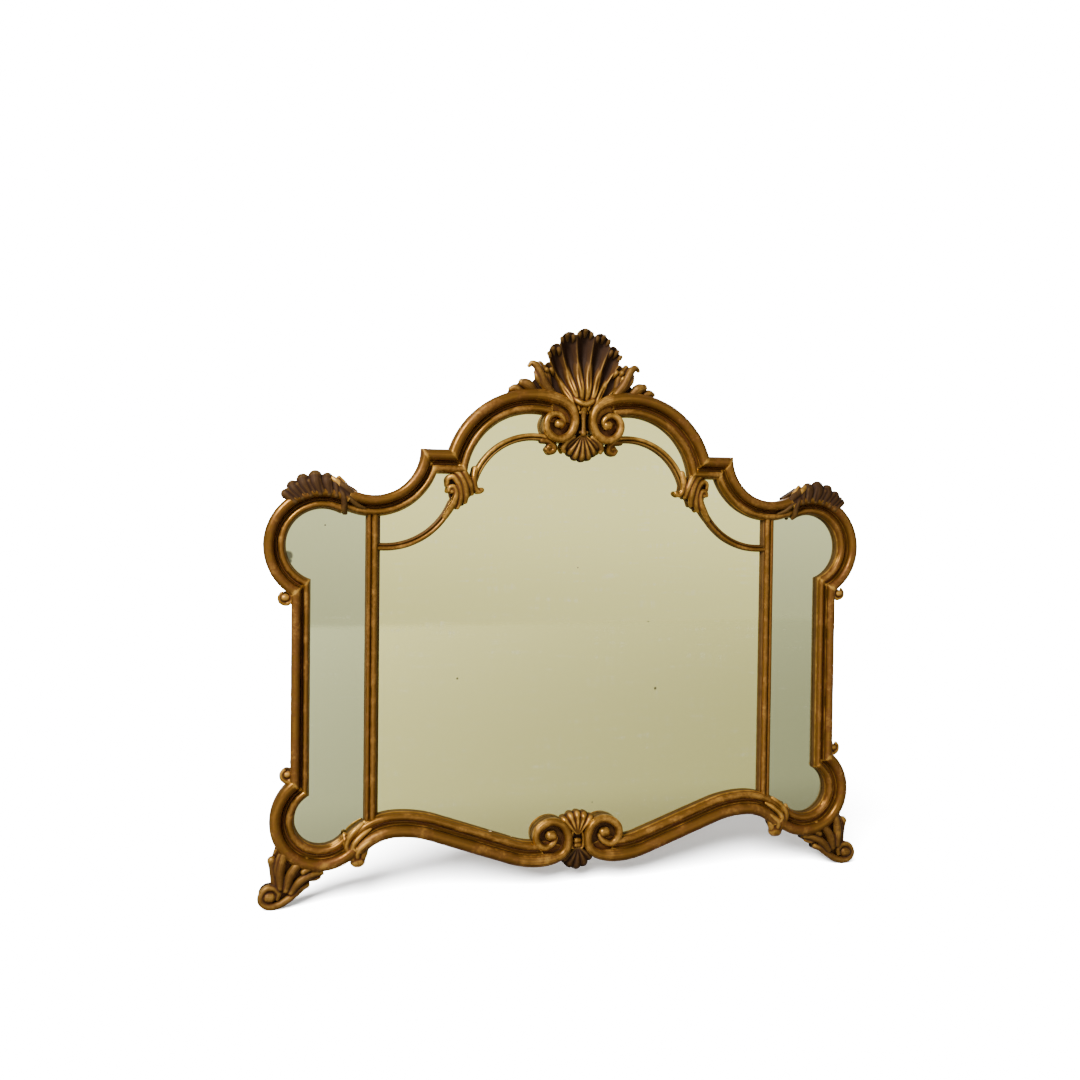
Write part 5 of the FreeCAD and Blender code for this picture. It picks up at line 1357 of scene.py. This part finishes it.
def add_room_wall(brightness):
    """Pale wall far behind the camera, there only for the plates to reflect."""
    mesh = bpy.data.meshes.new("room_wall")
    corners = ((-1.6, -0.68), (4.6, -0.68), (4.6, 2.0), (-1.6, 2.0))
    mesh.from_pydata([(x, -ROOM_DISTANCE, z) for x, z in corners], [], [(3, 2, 1, 0)])
    material, tree, shader = new_material("room_tone")
    coords = object_place(tree)
    height = axes_of(tree, coords)["Z"]
    tone = blend(tree, cloud(tree, coords, 0.7, 3.0), (0.9, 0.9, 0.86, 1), (1, 0.99, 0.94, 1))
    tone = blend(tree, ease(tree, height, 0.3, -0.75), tone, (0.6, 0.6, 0.57, 1))
    feed(tree, shader.inputs, {"Base Color": (0.4, 0.4, 0.38, 1), "Emission Color": tone,
                               "Emission Strength": brightness})
    mesh.materials.append(material)
    wall = bpy.data.objects.new("room_wall", mesh)
    bpy.context.scene.collection.objects.link(wall)
    wall.visible_camera = False
    wall.visible_shadow = False


def sweep_mesh():
    """Floor that runs on behind the mirror and curves up into a wall."""
    half_width, front, bend_start, bend_radius, wall_top = 7.0, -7.0, 3.2, 1.4, 5.0
    floor = -FEET * MM
    profile = [(front, floor)]
    for step in range(25):
        angle = math.pi / 2 * step / 24
        profile.append((bend_start + bend_radius * math.sin(angle),
                        floor + bend_radius * (1 - math.cos(angle))))
    profile.append((bend_start + bend_radius, wall_top))
    points = [(side * half_width, y, z) for y, z in profile for side in (-1, 1)]
    faces = [(2 * step, 2 * step + 1, 2 * step + 3, 2 * step + 2) for step in range(len(profile) - 1)]
    mesh = bpy.data.meshes.new("floor_sweep")
    mesh.from_pydata(points, [], faces)
    mesh.shade_smooth()
    return mesh


def floor_material(colour):
    """Matt paint of the stage, almost even; the plates and the gilding see it as a dim room."""
    material, tree, shader = new_material("pale_floor")
    coords = object_place(tree)
    patches = cloud(tree, coords, 1.3, 4.0)
    tone = blend(tree, times(tree, patches, 0.12), opaque(colour), (0.85, 0.85, 0.84, 1))
    direct = tree.nodes.new("ShaderNodeLightPath").outputs["Is Camera Ray"]
    distance = axes_of(tree, coords)["Y"]
    # Painted reflection and shade: all rays but the camera's see a dim floor, darkest close to the mirror
    shadow, near, far = (0.005, 0.0045, 0.004, 1), (0.0135, 0.0137, 0.0115, 1), (0.021, 0.021, 0.018, 1)
    dim = blend(tree, ease(tree, distance, -1.0, -ROOM_DISTANCE), near, far)
    dim = blend(tree, ease(tree, distance, -0.35, -0.8), shadow, dim)
    feed(tree, shader.inputs, {"Base Color": blend(tree, direct, dim, tone), "Roughness": 0.85,
                               "Specular IOR Level": 0.15})
    return material


# Camera as fitted to the picture: turned, tipped and rolled about its own place
CAMERA_YAW, CAMERA_PITCH, CAMERA_ROLL = 15.71, 1.25, 0.69
CAMERA_LENS, CAMERA_SENSOR = 36.67, 36
CAMERA_OFFSET = Vector((0.071, 0.692, 2.227))


def add_camera(scene):
    """Camera a little to the left of the mirror, level with its middle."""
    level = Matrix(((1, 0, 0), (0, 0, -1), (0, 1, 0)))
    yaw = Matrix.Rotation(math.radians(CAMERA_YAW), 3, "Y").transposed()
    pitch = Matrix.Rotation(math.radians(CAMERA_PITCH), 3, "X")
    roll = Matrix.Rotation(math.radians(CAMERA_ROLL), 3, "Z")
    to_view = roll @ pitch @ yaw @ level
    place = -(to_view.transposed() @ CAMERA_OFFSET) + Vector((0, -GLASS * MM, -FEET * MM))
    turn = (Matrix.Diagonal((1, -1, -1)) @ to_view).transposed()
    data = bpy.data.cameras.new("camera")
    data.lens = CAMERA_LENS
    data.sensor_width = CAMERA_SENSOR
    camera = bpy.data.objects.new("camera", data)
    camera.matrix_world = Matrix.Translation(place) @ turn.to_4x4()
    scene.collection.objects.link(camera)
    scene.camera = camera


class MIRROR_PT_panel(bpy.types.Panel):
    bl_idname = "MIRROR_PT_panel"
    bl_label = "Giltwood mirror"
    bl_space_type = "VIEW_3D"
    bl_region_type = "UI"
    bl_category = "Mirror"

    def draw(self, context):
        for label, group, names in (
                ("Gilding", context.scene.mirror_gilt, ("leaf", "rubbed_highlight", "bole", "dirt", "gesso")),
                ("Carving", context.scene.mirror_carving, ("wobble", "chisel")),
                ("Plates", context.scene.mirror_plate, ("tint", "haze")),
                ("Stage", context.scene.mirror_stage, ("floor", "floor_light", "room", "key_power", "sky"))):
            box = self.layout.box()
            box.label(text=label)
            for name in names:
                box.prop(group, name)
        for operator in OPERATORS:
            self.layout.operator(operator.bl_idname)


SETTINGS = {"mirror_gilt": GiltSettings, "mirror_carving": CarvingSettings, "mirror_plate": PlateSettings,
            "mirror_stage": StageSettings}
OPERATORS = (MIRROR_OT_finishes, MIRROR_OT_mouldings, MIRROR_OT_bars, MIRROR_OT_volutes, MIRROR_OT_shells,
             MIRROR_OT_leaves, MIRROR_OT_scrolls, MIRROR_OT_plates, MIRROR_OT_back, MIRROR_OT_stage)


def register():
    for group in SETTINGS.values():
        bpy.utils.register_class(group)
    for name, group in SETTINGS.items():
        setattr(bpy.types.Scene, name, bpy.props.PointerProperty(type=group))
    for kind in OPERATORS + (MIRROR_PT_panel,):
        bpy.utils.register_class(kind)


def unregister():
    for kind in (MIRROR_PT_panel,) + OPERATORS[::-1]:
        bpy.utils.unregister_class(kind)
    for name, group in SETTINGS.items():
        delattr(bpy.types.Scene, name)
        bpy.utils.unregister_class(group)


def main():
    register()
    bpy.ops.mirror.finishes()
    bpy.ops.mirror.mouldings()
    bpy.ops.mirror.bars()
    bpy.ops.mirror.volutes()
    bpy.ops.mirror.shells()
    bpy.ops.mirror.leaves()
    bpy.ops.mirror.scrolls()
    bpy.ops.mirror.plates()
    bpy.ops.mirror.back()
    bpy.ops.mirror.stage()


if __name__ == "__main__":
    main()
